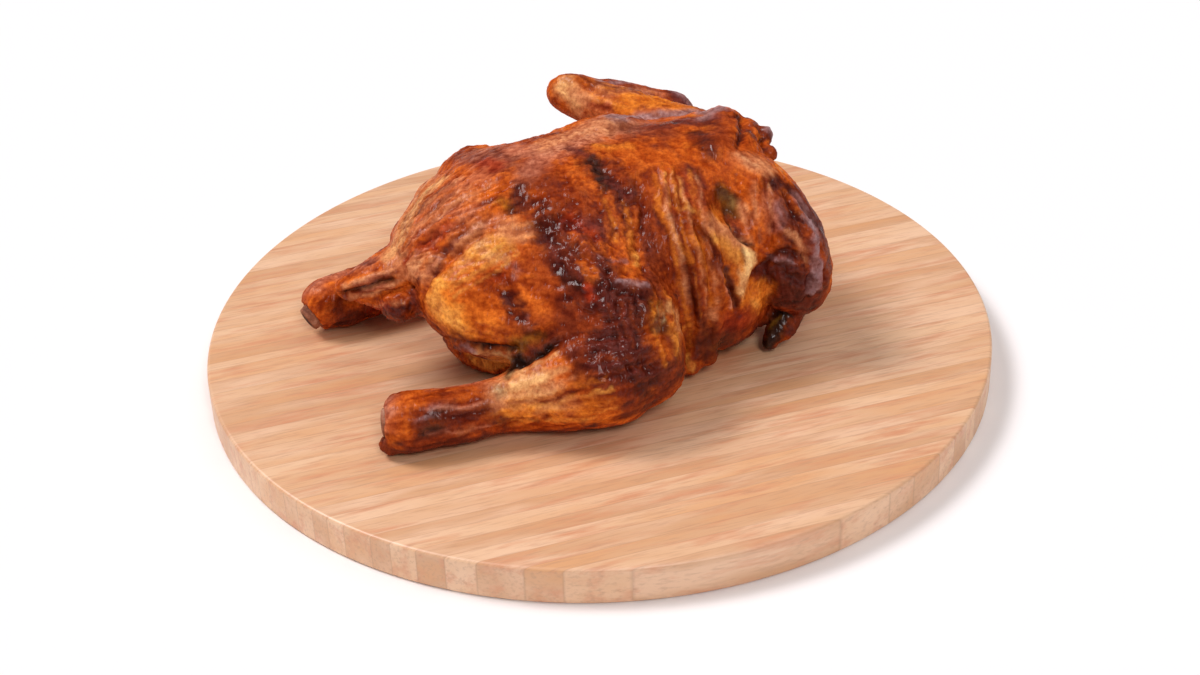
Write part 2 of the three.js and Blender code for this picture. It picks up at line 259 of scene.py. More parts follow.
def board_rings():
    """A point of the profile (r, z) carried round the axis: (r cos a, r sin a, z)."""
    bend = np.linspace(0, math.pi / 2, BOARD_EDGE_STEPS + 1)
    flat = np.linspace(FIRST_RING, 1, BOARD_FLAT_RINGS, endpoint=False) * (BOARD_RADIUS - BOARD_EDGE)
    low_r = BOARD_RADIUS - BOARD_EDGE + BOARD_EDGE * np.sin(bend)
    low_z = BOARD_EDGE - BOARD_EDGE * np.cos(bend)
    r = np.concatenate([flat, low_r, low_r[::-1], flat[::-1]])[:, None]
    z = np.concatenate([flat * 0, low_z, BOARD_THICKNESS - low_z[::-1], flat * 0 + BOARD_THICKNESS])[:, None]
    a = np.linspace(0, 2 * math.pi, BOARD_SIDES, endpoint=False)
    return np.stack([r * np.cos(a), r * np.sin(a), z + 0 * a], axis=-1)


board = new_piece("round_board", [closed_skin(board_rings())], bamboo_strips())
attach(board, "root")
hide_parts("board")

# The leg bones. Each shin bone runs through its drumstick, and its knuckle, pale with gristle, shows in the
# middle of the cut ankle. Its end is nearly flat where the foot was taken off, with dark marrow in it.
BIRD_TURN = math.radians(18)
BIRD_AT = np.array([-1.0, 2.0, BOARD_THICKNESS])
CAP_STEPS = 6
LEAST_RINGS = 6
LEAST_SIDES = 16
# Stations of a limb: the middle of an oval section and its half width and half height, in millimetres. The
# bird's own frame has +X towards the neck, +Y towards its far side and Z = 0 on the board.
NEAR_LEG_BONE = [
    (-116.2, -62.6, 13.2, 6, 6.6), (-110, -64.4, 13.4, 6.8, 7.2), (-99, -66.7, 13.5, 4.6, 4.8),
    (-72, -70.5, 14.4, 4, 4.2), (-44, -74, 19.5, 4.6, 4.8), (-30, -76, 22.5, 7, 7.4),
]
FAR_LEG_BONE = [
    (-127, 37.8, 8.6, 5.4, 6), (-118, 40.3, 12.6, 6.4, 7), (-106, 42.8, 13.4, 4.8, 5),
    (-79, 48, 14.4, 4.2, 4.4), (-52, 56, 18.8, 4.8, 5), (-38, 61, 21.8, 7.2, 7.6),
]
BONE_BLUNT = 0.2
BONE_FACET = 1.0
BONE_TONES = [(0.3, (0.14, 0.045, 0.025, 1)), (0.5, (0.36, 0.14, 0.08, 1)), (0.7, (0.6, 0.36, 0.25, 1))]
MARROW_TONE = (0.05, 0.014, 0.014, 1)
MARROW_RADIUS = 4.8
MARROW_EDGE = 1.5


def bone_and_marrow():
    """Bone stained by the roast, its tone by noise, turned to marrow's where the marrow attribute is 1."""
    bone, tree, shader = new_material("leg_bone", {"Roughness": 0.6, "Specular IOR Level": 0.1})
    place = put(tree, "TexCoord").outputs["Object"]
    stain = put(tree, "TexNoise", {"Vector": place, "Scale": 160.0, "Detail": 4.0, "Roughness": 0.65})
    marrow = put(tree, "Attribute", attribute_name="marrow").outputs["Fac"]
    colour = mix(tree, marrow, ramp(tree, stain.outputs["Fac"], BONE_TONES), MARROW_TONE)
    tree.links.new(colour, shader.inputs["Base Color"])
    bump = put(tree, "Bump", {"Height": stain.outputs["Fac"], "Strength": 0.5, "Distance": 0.0006})
    tree.links.new(bump.outputs["Normal"], shader.inputs["Normal"])
    return bone


def smooth_through(stations, count):
    """A curve through every station, and its direction: on each stretch the cubic whose slope at a station is
    half the step between that station's neighbours. Each end gets one more station straight on."""
    s = np.array(stations, float)
    s = np.concatenate([2 * s[:1] - s[1:2], s, 2 * s[-1:] - s[-2:-1]])
    t = np.linspace(0, len(s) - 3, count)
    i = np.minimum(t.astype(int), len(s) - 4)
    f = (t - i)[:, None]
    p, q, r, u = s[i], s[i + 1], s[i + 2], s[i + 3]
    cubic, square, slope = (3 * q - p - 3 * r + u) / 2, (2 * p - 5 * q + 4 * r - u) / 2, (r - p) / 2
    return ((cubic * f + square) * f + slope) * f + q, (3 * cubic * f + 2 * square) * f + slope


def section_axes(forward):
    """Two directions square to each forward direction: one level, to its left, and one upright."""
    forward = forward / np.linalg.norm(forward, axis=1, keepdims=True)
    side = np.cross([0, 0, 1], forward)
    side /= np.linalg.norm(side, axis=1, keepdims=True)
    return forward, side, np.cross(forward, side)


def limb(stations, blunt=1.0, facet=1.6):
    """Oval sections carried along a smooth line: middle + side * wide * cos a + top * high * sin a, with a
    rounded cap on each end. The first cap stands out by "blunt" of a half round."""
    length = np.linalg.norm(np.diff(np.array(stations)[:, :3], axis=0), axis=1).sum()
    line, slope = smooth_through(stations, max(LEAST_RINGS, round(length / facet)))
    forward, side, top = section_axes(slope[:, :3])
    size = line[:, 3:]
    around = max(LEAST_SIDES, round(2 * math.pi * size.max() / facet))
    a = np.linspace(0, 2 * math.pi, around, endpoint=False)[None, :, None]
    oval = side[:, None] * size[:, None, :1] * np.cos(a) + top[:, None] * size[:, None, 1:] * np.sin(a)
    rings = line[:, None, :3] + oval
    cap = np.linspace(0, math.pi / 2, CAP_STEPS + 1)[1:-1, None, None]
    reach = size.min(axis=1)
    first = line[0, :3] - forward[0] * blunt * reach[0] * np.cos(cap) + oval[0] * np.sin(cap)
    last = line[-1, :3] + forward[-1] * reach[-1] * np.cos(cap) + oval[-1] * np.sin(cap)
    return closed_skin(np.concatenate([first, rings, last[::-1]]))


def on_board(points):
    """Points of the bird's own frame turned and set down on the board."""
    c, s = math.cos(BIRD_TURN), math.sin(BIRD_TURN)
    return points @ np.array([[c, s, 0], [-s, c, 0], [0, 0, 1]]) + BIRD_AT


def set_down(skin):
    """A closed skin of the bird's own frame turned and set down on the board."""
    return (on_board(skin[0]), *skin[1:])


bone = bone_and_marrow()
for name, stations in (("near_leg_bone", NEAR_LEG_BONE), ("far_leg_bone", FAR_LEG_BONE)):
    shaft = limb(stations, BONE_BLUNT, BONE_FACET)
    piece = new_piece(name + "_shaft", [set_down(shaft)], bone)
    from_end = np.linalg.norm(shaft[0] - np.array(stations[0][:3]), axis=1)
    marrow = piece.data.attributes.new("marrow", "FLOAT", "POINT")
    marrow.data.foreach_set("value", np.clip((MARROW_RADIUS - from_end) / MARROW_EDGE, 0, 1))
    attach(piece, "root")
    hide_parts(name)

# The bird: a whole chicken grilled and basted, on its breast with its legs spread and its wings folded. One
# browned skin covers trunk, legs, tail and wings, so they are set together as rounded limbs and fused. The
# hollows are cut, the joins eased, wrinkles, folds and streaks raised, and the browning is painted on, with
# painted shade in its creases and under its overhangs, and painted highlights and sky reflections.
TRUNK_SQUARENESS = 2.2
TRUNK_STEP = 1.5
TRUNK_SIDES = 200
# Place along the body, middle line across, half width, and heights of back, widest line and breast.
TRUNK = [
    (-90, 2, 13, 60, 49, 38), (-82, 1, 30, 67, 46, 26), (-64, 1, 43, 80.5, 43, 15),
    (-40, 0, 54.5, 89.5, 40, 4), (-8, -3, 57, 91.5, 37, -3), (25, -6, 61, 91, 32, -6),
    (50, -6, 58, 91, 31, -6), (66, -4, 46, 91.5, 34, -2), (76, -2, 33, 84, 41, 8), (81, 0, 16, 70, 46, 24),
]
NEAR_DRUMSTICK = [
    (-114, -63, 13.2, 10.5, 12), (-106, -65.3, 13.5, 12.5, 13.5), (-88, -68.5, 13.8, 11, 12.5),
    (-68, -71, 15, 11, 12.5), (-52, -72.5, 18, 16, 17), (-36, -75, 22, 22, 21), (-20, -77, 24.5, 24, 23.5),
    (-5, -77, 26, 19, 21),
]
NEAR_THIGH = [(-24, -20, 50, 24, 20), (-18, -42, 50, 30, 26), (-11, -62, 40, 28, 26), (-7, -75, 30, 22, 21)]
# Skin and meat between the hip and the drumstick.
NEAR_WEB = [(-62, -36, 42, 22, 20), (-42, -52, 38, 20, 18), (-24, -62, 36, 20, 18)]
NEAR_ANKLE_KNOB = [(-108, -66, 8, 6, 6), (-115.5, -67.5, 5.6, 4.8, 4.6)]
FAR_DRUMSTICK = [
    (-124.5, 38.5, 9.5, 8.5, 9.5), (-117, 40.5, 13, 11.5, 13), (-98, 44, 13.5, 12, 12.5),
    (-78, 48, 14, 12, 13), (-60, 53, 17, 16, 17), (-42, 60, 21, 22, 22), (-24, 65, 24, 24, 24),
    (-12, 66, 26, 18, 21),
]
FAR_THIGH = [(-34, 20, 52, 28, 25), (-29, 36, 51, 32, 25), (-20, 52, 40, 29, 25), (-14, 63, 30, 22, 22)]
TAIL = [(-74, 2, 52, 20, 13), (-88, 2, 49, 14, 9), (-102, 2, 46, 11, 7), (-114, 2, 43, 6, 4.5)]
TAIL_UNDERSIDE = [(-76, -4, 38, 14, 10), (-88, -2, 35, 12, 8), (-100, 1, 37, 8, 5.5), (-110, 2, 40, 4.5, 3)]
VENT_FLAP = [
    (-54, 26, 13, 9, 11), (-64, 8, 12, 8, 11), (-63, -14, 9.5, 9, 9), (-46, -29, 9.5, 9.5, 9),
    (-22, -38, 12, 10, 12),
]
NEAR_UPPER_WING = [
    (53, -18, 79.5, 16, 13), (66, -33, 69.5, 18, 15), (72.5, -45, 54, 17.5, 18), (78, -49.5, 38, 18, 17),
]
NEAR_FOREARM = [(70, -54, 33, 8, 11), (81, -50.5, 31, 13, 15), (88, -42, 29, 10, 12)]
NEAR_WING_TIP = [(79, -45, 20, 7.5, 7), (71, -52, 12, 5.5, 5), (63, -56, 6, 3.5, 3.5)]
NEAR_WING_THUMB = [(80, -47, 19, 5.5, 5), (75, -53, 12, 4, 3.5), (70.5, -57, 8, 2.3, 2.3)]
FAR_UPPER_WING = [(66, 40, 62, 15, 14), (42, 60, 69, 14, 11.5), (13, 82.5, 78, 10, 11)]
FAR_FOREARM = [(17, 86, 72, 9, 9), (42, 86, 65, 13, 9.5), (70, 76, 58, 10, 9)]
FAR_WING_TIP = [(72, 72, 54, 8, 7), (68, 64, 42, 6, 5.5), (60, 62, 30, 3.5, 3.5)]
NECK = [(54, 5, 75.5, 22, 15), (67, 6, 78.5, 16, 13), (75, 5, 77.5, 9, 9)]
NECK_SCRAPS = [
    [(70, -2, 78, 7, 7), (77, -4, 78.5, 5.5, 5.5), (80.5, -6, 79, 2.8, 3)],
    [(67, 9, 81, 6, 5), (75, 6, 81.5, 3.5, 3)],
    [(69, 2, 80, 6, 5), (78, 0, 81, 4.5, 4), (85, -2, 80, 2.8, 2.5)],
    [(70, -4, 76, 7, 6), (77, -9, 77, 4.5, 4), (82, -12, 76, 2.8, 2.5)],
]
FLANK_FOLDS = [
    [(30, -25, 84, 3, 4), (27, -46, 75, 4, 4.5), (25, -60, 59, 4.5, 4.5), (25, -65, 38, 4, 4.5),
     (26, -63, 20, 4, 4.5), (22, -64, 9, 5, 5)],
    [(37, -40, 79, 3, 4), (34.5, -55, 67, 3.5, 4.5), (34.5, -64, 52, 4, 4.5), (33.5, -66, 36, 3.5, 4),
     (32.5, -65, 24, 3, 4), (29.5, -62, 11, 5, 6)],
]
LIMBS = [
    NEAR_THIGH, NEAR_WEB, NEAR_ANKLE_KNOB, FAR_THIGH, TAIL, TAIL_UNDERSIDE, VENT_FLAP,
    NEAR_UPPER_WING, NEAR_FOREARM, NEAR_WING_TIP, NEAR_WING_THUMB,
    FAR_UPPER_WING, FAR_FOREARM, FAR_WING_TIP, NECK, *NECK_SCRAPS, *FLANK_FOLDS,
]
# Limbs so slender, or with edges so clear in the photograph, that easing the joins must not wear them down.
SPARED = [
    NEAR_ANKLE_KNOB, TAIL, TAIL_UNDERSIDE, VENT_FLAP, NEAR_WING_TIP, NEAR_WING_THUMB, FAR_WING_TIP,
    *NECK_SCRAPS, *FLANK_FOLDS, NEAR_UPPER_WING, NEAR_FOREARM,
]
# Rounded lumps that fill out the body: the middle and the three half sizes.
LUMPS = {
    "near hip": ((-53, -26, 44), (34, 28, 27.5)),
    "far hip": ((-54, 25, 47), (27, 26, 27)),
    "far hip, towards the thigh": ((-42, 31, 50), (24, 26, 33)),
    "far shoulder blade": ((12, 20, 68), (34, 26, 23.7)),
    "root of the tail": ((-93, -9, 37), (9, 9, 8)),
    "breast behind the near wing": ((66, -38, 16), (12, 11, 9.5)),
}
LUMP_RINGS = 58
LUMP_SIDES = 96
HOLLOWS = {
    "vent behind its flap": [
        (-100, 4, 27, 9, 6), (-78, -4, 25, 12, 6), (-60, -26, 19, 8, 4.5), (-38, -46, 17, 6, 3.5),
    ],
    "slit of the tail": [(-112, -6, 41.5, 4, 1.2), (-99, -11, 44, 5, 1.9), (-86, -16, 47, 4, 1.2)],
    "fold under the wing": [
        (42, -47, 84, 5, 5), (47, -50, 77, 8, 8), (51, -58, 65, 4, 5), (56, -64, 52, 2.5, 4),
        (59, -66, 42, 2, 3),
    ],
}
ANKLE_BLUNT = 0.25
BONE_GAP = 0.35
REST_GAP = 0.3
FUSE_VOXEL = 1.1 * MM
SKIN_VOXEL = 1.0 * MM
SKIN_TRIANGLES = 196000
DARK_SPECKLES = (0.66, 0.5, 0.45, 1)
PALE_SPECKLES = (1.3, 1.4, 1.4, 1)


def browned_skin():
    """The painted browning, with its painted shade, painted highlights and painted sky reflections, finely
    speckled darker and paler. Its alpha is how thick the glaze lies. Pores drawn out along the body stand in
    skin and glaze, and the speckles' grit in the skin alone."""
    finish = {"Roughness": 0.5, "Specular IOR Level": 0.0, "Coat Roughness": 0.2, "Coat IOR": 1.4}
    roast, tree, shader = new_material("roast_skin", finish)
    place = put(tree, "TexCoord").outputs["Object"]
    painted = put(tree, "Attribute", attribute_name="browning_and_painted_light")
    speckle = put(tree, "TexNoise", {"Vector": place, "Scale": 620.0, "Detail": 3.0, "Roughness": 0.6})
    colour = painted.outputs["Color"]
    for full, tint in ((0.64, DARK_SPECKLES), (0.36, PALE_SPECKLES)):
        colour = mix(tree, mask(tree, speckle.outputs["Fac"], 0.5, full, 0.6), colour, tint, "MULTIPLY")
    tree.links.new(colour, shader.inputs["Base Color"])
    tree.links.new(painted.outputs["Alpha"], shader.inputs["Coat Weight"])
    along = put(tree, "Mapping", {"Vector": place, "Rotation": (0, 0, -BIRD_TURN), "Scale": (1, 0.35, 0.35)})
    drawn_out = {"Vector": along.outputs["Vector"], "Scale": 330.0, "Detail": 1.0, "Distortion": 0.8}
    pores = put(tree, "TexNoise", drawn_out).outputs["Fac"]
    pored = put(tree, "Bump", {"Height": pores, "Strength": 0.6, "Distance": 0.0014}).outputs["Normal"]
    grit = {"Height": speckle.outputs["Fac"], "Strength": 0.5, "Distance": 0.0008, "Normal": pored}
    tree.links.new(put(tree, "Bump", grit).outputs["Normal"], shader.inputs["Normal"])
    tree.links.new(pored, shader.inputs["Coat Normal"])
    return roast


def trunk():
    """Upright sections along the body: y = middle + wide * q(cos a), z = widest line + reach * q(sin a). Here
    q keeps the sign and raises the size to 2 / squareness, and reach is that of the back or of the breast."""
    length = TRUNK[-1][0] - TRUNK[0][0]
    s, _ = smooth_through(TRUNK, round(length / TRUNK_STEP))
    x, y, wide, back, middle, breast = (s[:, i, None] for i in range(6))
    a = np.linspace(0, 2 * math.pi, TRUNK_SIDES, endpoint=False)[None]
    across = np.sign(np.cos(a)) * np.abs(np.cos(a)) ** (2 / TRUNK_SQUARENESS)
    up = np.sign(np.sin(a)) * np.abs(np.sin(a)) ** (2 / TRUNK_SQUARENESS)
    z = middle + up * np.where(up > 0, back - middle, middle - breast)
    return closed_skin(np.stack([x + 0 * a, y + wide * across, z], axis=-1))


def lump(middle, half):
    """A ball stretched to its three half sizes: rings round Z from bottom to top."""
    up = np.linspace(-math.pi / 2, math.pi / 2, LUMP_RINGS + 2)[1:-1, None]
    a = np.linspace(0, 2 * math.pi, LUMP_SIDES, endpoint=False)[None]
    ball = np.stack([np.cos(up) * np.cos(a), np.cos(up) * np.sin(a), np.sin(up) + 0 * a], axis=-1)
    return closed_skin(np.array(middle) + ball * np.array(half))


def settle(piece):
    """Takes the shape that the piece's modifiers give as its mesh."""
    graph = bpy.context.evaluated_depsgraph_get()
    made = bpy.data.meshes.new_from_object(piece.evaluated_get(graph))
    piece.modifiers.clear()
    piece.data = made


def fuse(piece, voxel):
    """One even skin round everything that overlaps, with a point in about every cube of the voxel's size."""
    wrap = piece.modifiers.new("fuse", "REMESH")
    wrap.mode = "VOXEL"
    wrap.voxel_size = voxel
    settle(piece)


def cut_away(piece, skin):
    """Takes the room inside a closed skin away from the piece."""
    cutter = new_piece("cutter", [set_down(skin)], roast)
    cut = piece.modifiers.new("cut", "BOOLEAN")
    cut.operation = "DIFFERENCE"
    cut.solver = "MANIFOLD"
    cut.object = cutter
    settle(piece)
    bpy.data.objects.remove(cutter)


roast = browned_skin()
skins = [trunk(), limb(NEAR_DRUMSTICK, ANKLE_BLUNT), limb(FAR_DRUMSTICK, ANKLE_BLUNT)]
skins += [limb(stations) for stations in LIMBS] + [lump(*sizes) for sizes in LUMPS.values()]
bird = new_piece("chicken_skin", [set_down(skin) for skin in skins], roast)
fuse(bird, FUSE_VOXEL)
for stations in HOLLOWS.values():
    cut_away(bird, limb(stations))
for stations in (NEAR_LEG_BONE, FAR_LEG_BONE):
    roomy = [(*station[:3], station[3] + BONE_GAP, station[4] + BONE_GAP) for station in stations]
    cut_away(bird, limb(roomy, BONE_BLUNT))
fuse(bird, SKIN_VOXEL)

# Easing the joins. A spared limb is held fast from its middle out to HELD of its own size, and is free again
# at FREE. The hips and the rump, whose skin is drawn smooth, are eased once more.
LINE_POINTS = 36
HELD = 1.15
FREE = 1.9
HOLD = 0.9
JOIN_ROUNDS = 40
RUMP_ROUNDS = 260


def off_board(points):
    """Points on the board in the bird's own frame, in millimetres."""
    c, s = math.cos(BIRD_TURN), math.sin(BIRD_TURN)
    return (points - BIRD_AT) @ np.array([[c, -s, 0], [s, c, 0], [0, 0, 1]])


def read_places(mesh):
    """The mesh's points in the bird's own frame, in millimetres."""
    places = np.empty(len(mesh.vertices) * 3)
    mesh.vertices.foreach_get("co", places)
    return off_board(places.reshape(-1, 3) / MM)


def write_places(mesh, places):
    """Sets the mesh's points, no lower than the gap under the bird, from the bird's own frame."""
    places[:, 2] = np.maximum(places[:, 2], REST_GAP)
    mesh.vertices.foreach_set("co", (on_board(places) * MM).ravel())
    mesh.update()


def read_normals(mesh):
    """The skin's outward direction at each point, in the bird's own frame."""
    normals = np.empty(len(mesh.vertices) * 3)
    mesh.vertex_normals.foreach_get("vector", normals)
    return off_board(normals.reshape(-1, 3) + BIRD_AT)


def ease(places, ends, freedom, rounds):
    """Moves each point half way to the mean of its neighbours, times its freedom, again and again."""
    start, end = ends.T
    degree = np.bincount(start, minlength=len(places)) + np.bincount(end, minlength=len(places))
    for _ in range(rounds):
        total = np.stack(
            [
                np.bincount(start, places[end, axis], len(places))
                + np.bincount(end, places[start, axis], len(places))
                for axis in range(3)
            ],
            axis=1,
        )
        places = places + 0.5 * freedom[:, None] * (total / degree[:, None] - places)
    return places


def rise(value, start, end):
    """0 before start, 1 past end, and 3t^2 - 2t^3 between them."""
    t = np.clip((value - start) / (end - start), 0, 1)
    return t * t * (3 - 2 * t)


def beside(stations, places):
    """For each point beside a limb: millimetres along its line, to its side and up from it, and how far out
    it lies as a share of the limb's own size, all from the nearest point of the line."""
    line, slope = smooth_through(stations, LINE_POINTS)
    forward, side, top = section_axes(slope[:, :3])
    run = np.concatenate([[0], np.cumsum(np.linalg.norm(np.diff(line[:, :3], axis=0), axis=1))])
    best = np.full(len(places), np.inf)
    nearest = np.zeros(len(places), int)
    for i, middle in enumerate(line[:, :3]):
        far = ((places - middle) ** 2).sum(axis=1)
        closer = far < best
        best[closer] = far[closer]
        nearest[closer] = i
    offset = places - line[nearest, :3]
    out = [np.einsum("ij,ij->i", offset, axes[nearest]) for axes in (forward, side, top)]
    share = np.hypot(out[1] / line[nearest, 3], out[2] / line[nearest, 4])
    return run[nearest] + out[0], out[1], out[2], share


mesh = bird.data
places = read_places(mesh)
ends = np.empty(len(mesh.edges) * 2, int)
mesh.edges.foreach_get("vertices", ends)
ends = ends.reshape(-1, 2)
x, y, z = places.T
held = np.zeros(len(places))
for stations in SPARED:
    *_, share = beside(stations, places)
    held = np.maximum(held, 1 - rise(share, HELD, FREE))
places = ease(places, ends, 1 - HOLD * held, JOIN_ROUNDS)
rump = rise(x, -95, -75) * (1 - rise(x, 5, 30)) * (1 - held) * rise(z, 30, 45)
places = ease(places, ends, rump, RUMP_ROUNDS)
write_places(mesh, places)
bpy.context.view_layer.update()
skin_tree = BVHTree.FromObject(bird, bpy.context.evaluated_depsgraph_get())


def seen_at(px, py):
    """The point of the skin that the photograph shows at a pixel, in the bird's own frame, or None. A ray
    goes from the camera through the pixel's place on the sensor, one focal length in front."""
    scale = SENSOR_WIDTH / PHOTO_WIDTH / CAMERA_LENS
    ray = Vector(((px - PHOTO_WIDTH / 2) * scale, (PHOTO_HEIGHT / 2 - py) * scale, -1))
    hit = skin_tree.ray_cast(CAMERA_AT, camera.rotation_quaternion @ ray)[0]
    return None if hit is None else off_board(np.array(hit)[None] / MM)[0]


def line_on_skin(pixels):
    """Places along the line that joins the pixels, three to each stretch, set down on the skin."""
    stops = np.array(pixels, float)
    if len(stops) == 1:
        return np.array([seen_at(*stops[0])])
    t = np.linspace(0, len(stops) - 1, 3 * (len(stops) - 1) + 1)
    way = np.stack([np.interp(t, np.arange(len(stops)), stops[:, k]) for k in (0, 1)], axis=1)
    hits = [seen_at(*pixel) for pixel in way]
    return np.array([hit for hit in hits if hit is not None])


def distance_to(line, places, reach):
    """The distance of each point to a line, where it is within reach, and infinity elsewhere."""
    low, high = line.min(axis=0) - reach, line.max(axis=0) + reach
    close = np.flatnonzero(((places > low) & (places < high)).all(axis=1))
    best = np.full(len(close), np.inf)
    for a, b in zip(line[: max(1, len(line) - 1)], line[1:] if len(line) > 1 else line):
        way = b - a
        t = np.clip((places[close] - a) @ way / max(way @ way, 1e-9), 0, 1)
        best = np.minimum(best, np.linalg.norm(places[close] - a - t[:, None] * way, axis=1))
    far = np.full(len(places), np.inf)
    far[close] = best
    return far


# Noise from one fixed throw of the dice, so that the skin comes out the same each time.
CORNERS = 1024
SEED_STEP = 31.7
NOISE_GAIN = 1.6
OCTAVE_FADE = 0.6
rng = np.random.default_rng(11)
SLOPES = rng.normal(size=(CORNERS, 3))
SLOPES /= np.linalg.norm(SLOPES, axis=1, keepdims=True)
SHUFFLE = rng.permutation(CORNERS)


def noise(places, seed=0.0):
    """Humps and hollows between about -1 and 1, one to a unit: a random slope at every whole-number corner,
    blended by 6t^5 - 15t^4 + 10t^3."""
    places = places + seed * SEED_STEP
    cell = np.floor(places).astype(int)
    part = places - cell
    fade = part**3 * (part * (part * 6 - 15) + 10)
    total = np.zeros(len(places))
    for corner in np.ndindex(2, 2, 2):
        x, y, z = ((cell + corner) % CORNERS).T
        slope = SLOPES[SHUFFLE[(SHUFFLE[(SHUFFLE[x] + y) % CORNERS] + z) % CORNERS]]
        weight = np.prod(np.where(np.array(corner) == 1, fade, 1 - fade), axis=1)
        total += weight * np.einsum("ij,ij->i", part - corner, slope)
    return total * NOISE_GAIN


def mottle(places, octaves, seed=0.0):
    """Noise added to itself at half the size and a fixed share of the strength, octave by octave."""
    total = sum(OCTAVE_FADE**k * noise(places * 2**k, seed + k) for k in range(octaves))
    return total / sum(OCTAVE_FADE**k for k in range(octaves))


def ridged(places, sharpness, seed):
    """Narrow ridges that wind where the noise changes sign: 1 - sharpness * |noise|."""
    return 1 - sharpness * np.abs(noise(places, seed))


def drifting(places, size, seed):
    """Three noises of the same size, one for each direction."""
    return np.stack([noise(places / size, seed + k) for k in range(3)], axis=1)


# How the grain of the skin runs: out from the tail over the rump, round the body on the flank, along each leg
# and wing, with no direction on the thigh. A pattern is STRETCH times as long along the grain as across it.
STRETCH = 4.5
TAIL_HEAD = np.array([-100, 0, 48])
FAN_SIZE = 48
BODY_LINE = (-3, 42)
FLANK_RADIUS = 55
# The size in millimetres of one hump of each pattern.
GRAIN = 5.0
WRINKLE = 4.25
FINE_GRAIN = 2.4
CRINKLE = 4.6
FINE_CRINKLE = 2.6
SWELLING = 21
BLOTCH = 9
GRIT = 3.2

x, y, z = places.T
turned = np.arctan2(y - BODY_LINE[0], z - BODY_LINE[1])
from_line = np.hypot(y - BODY_LINE[0], z - BODY_LINE[1])
from_tail = places - TAIL_HEAD
tail_far = np.linalg.norm(from_tail, axis=1)[:, None]
fan = from_tail / tail_far * FAN_SIZE + from_tail / STRETCH
flank = np.stack([x, turned * FLANK_RADIUS / STRETCH, from_line * 0.3], axis=1)
flows = [
    (np.full(len(places), 0.25), places),
    (2.0 * (1 - rise(x, -45, -15)) * rise(z, 15, 30), fan),
    (2.0 * rise(x, 8, 22) * (1 - rise(x, 62, 72)), flank),
]
for stations in (NEAR_DRUMSTICK, FAR_DRUMSTICK, FAR_FOREARM, FAR_UPPER_WING, NEAR_UPPER_WING, TAIL):
    run, side, top, share = beside(stations, places)
    own = np.stack([run / STRETCH, side, top], axis=1)
    flows.append((4.0 * (1 - rise(share, 1.1, 1.35)), own))
weights = sum(weight for weight, _ in flows)
grain = np.zeros(len(places))
wrinkles = np.zeros(len(places))
fine_grain = np.zeros(len(places))
for k, (weight, own) in enumerate(flows):
    there = weight > 0.01
    share = weight[there] / weights[there]
    grain[there] += share * mottle(own[there] / GRAIN, 3, 3.0 + k)
    wrinkles[there] += share * ridged(own[there] / WRINKLE, 2.2, 20.0 + k)
    fine_grain[there] += share * mottle(own[there] / FINE_GRAIN, 2, 70.0 + k)
crumpled = places * [1, 0.5, 0.5] + 1.6 * drifting(places, 4.5, 80.0)
crinkles = ridged(crumpled / CRINKLE, 2.6, 90.0) + 0.4 * ridged(crumpled / FINE_CRINKLE, 2.6, 91.0)
lumps = mottle(places / SWELLING, 2, 40.0)
blotches = mottle(places / BLOTCH, 3, 50.0)
grit = mottle(places / GRIT, 2, 60.0)
grain /= grain.std()
fine_grain /= fine_grain.std()
blotches /= blotches.std()
grit /= grit.std()
# The points as strokes and streaks measure them, moved a little along the skin, so that edges wander.
outward = read_normals(mesh)
moved = 1.6 * drifting(places, 7.0, 100.0) + 0.7 * drifting(places, 2.8, 110.0)
wandering = places + moved - np.einsum("ij,ij->i", moved, outward)[:, None] * outward

# Where the skin is more wrinkled than around it: the change in millimetres of the wrinkles' height, half
# width of the patch, and the pixels that it follows.
WRINKLED = {
    "thigh, dark patch": (0.8, 13, [(560, 225), (585, 260), (610, 300), (635, 350)]),
    "thigh, below the dark patch": (0.6, 9, [(585, 345), (625, 370), (655, 370)]),
    "back stripe": (0.35, 10, [(595, 165), (630, 200)]),
    "side": (0.2, 12, [(680, 190), (690, 260), (700, 320)]),
    "wing, blob": (0.9, 12, [(785, 270), (800, 280)]),
    "wing, second lump": (0.5, 10, [(775, 185), (785, 220)]),
    "wing, right strand": (0.8, 8, [(808, 235), (818, 280)]),
    "neck": (0.5, 8, [(732, 112), (762, 140)]),
    "rump": (0.15, 12, [(430, 220), (470, 190)]),
    "shank": (0.25, 9, [(415, 415), (450, 415)]),
}
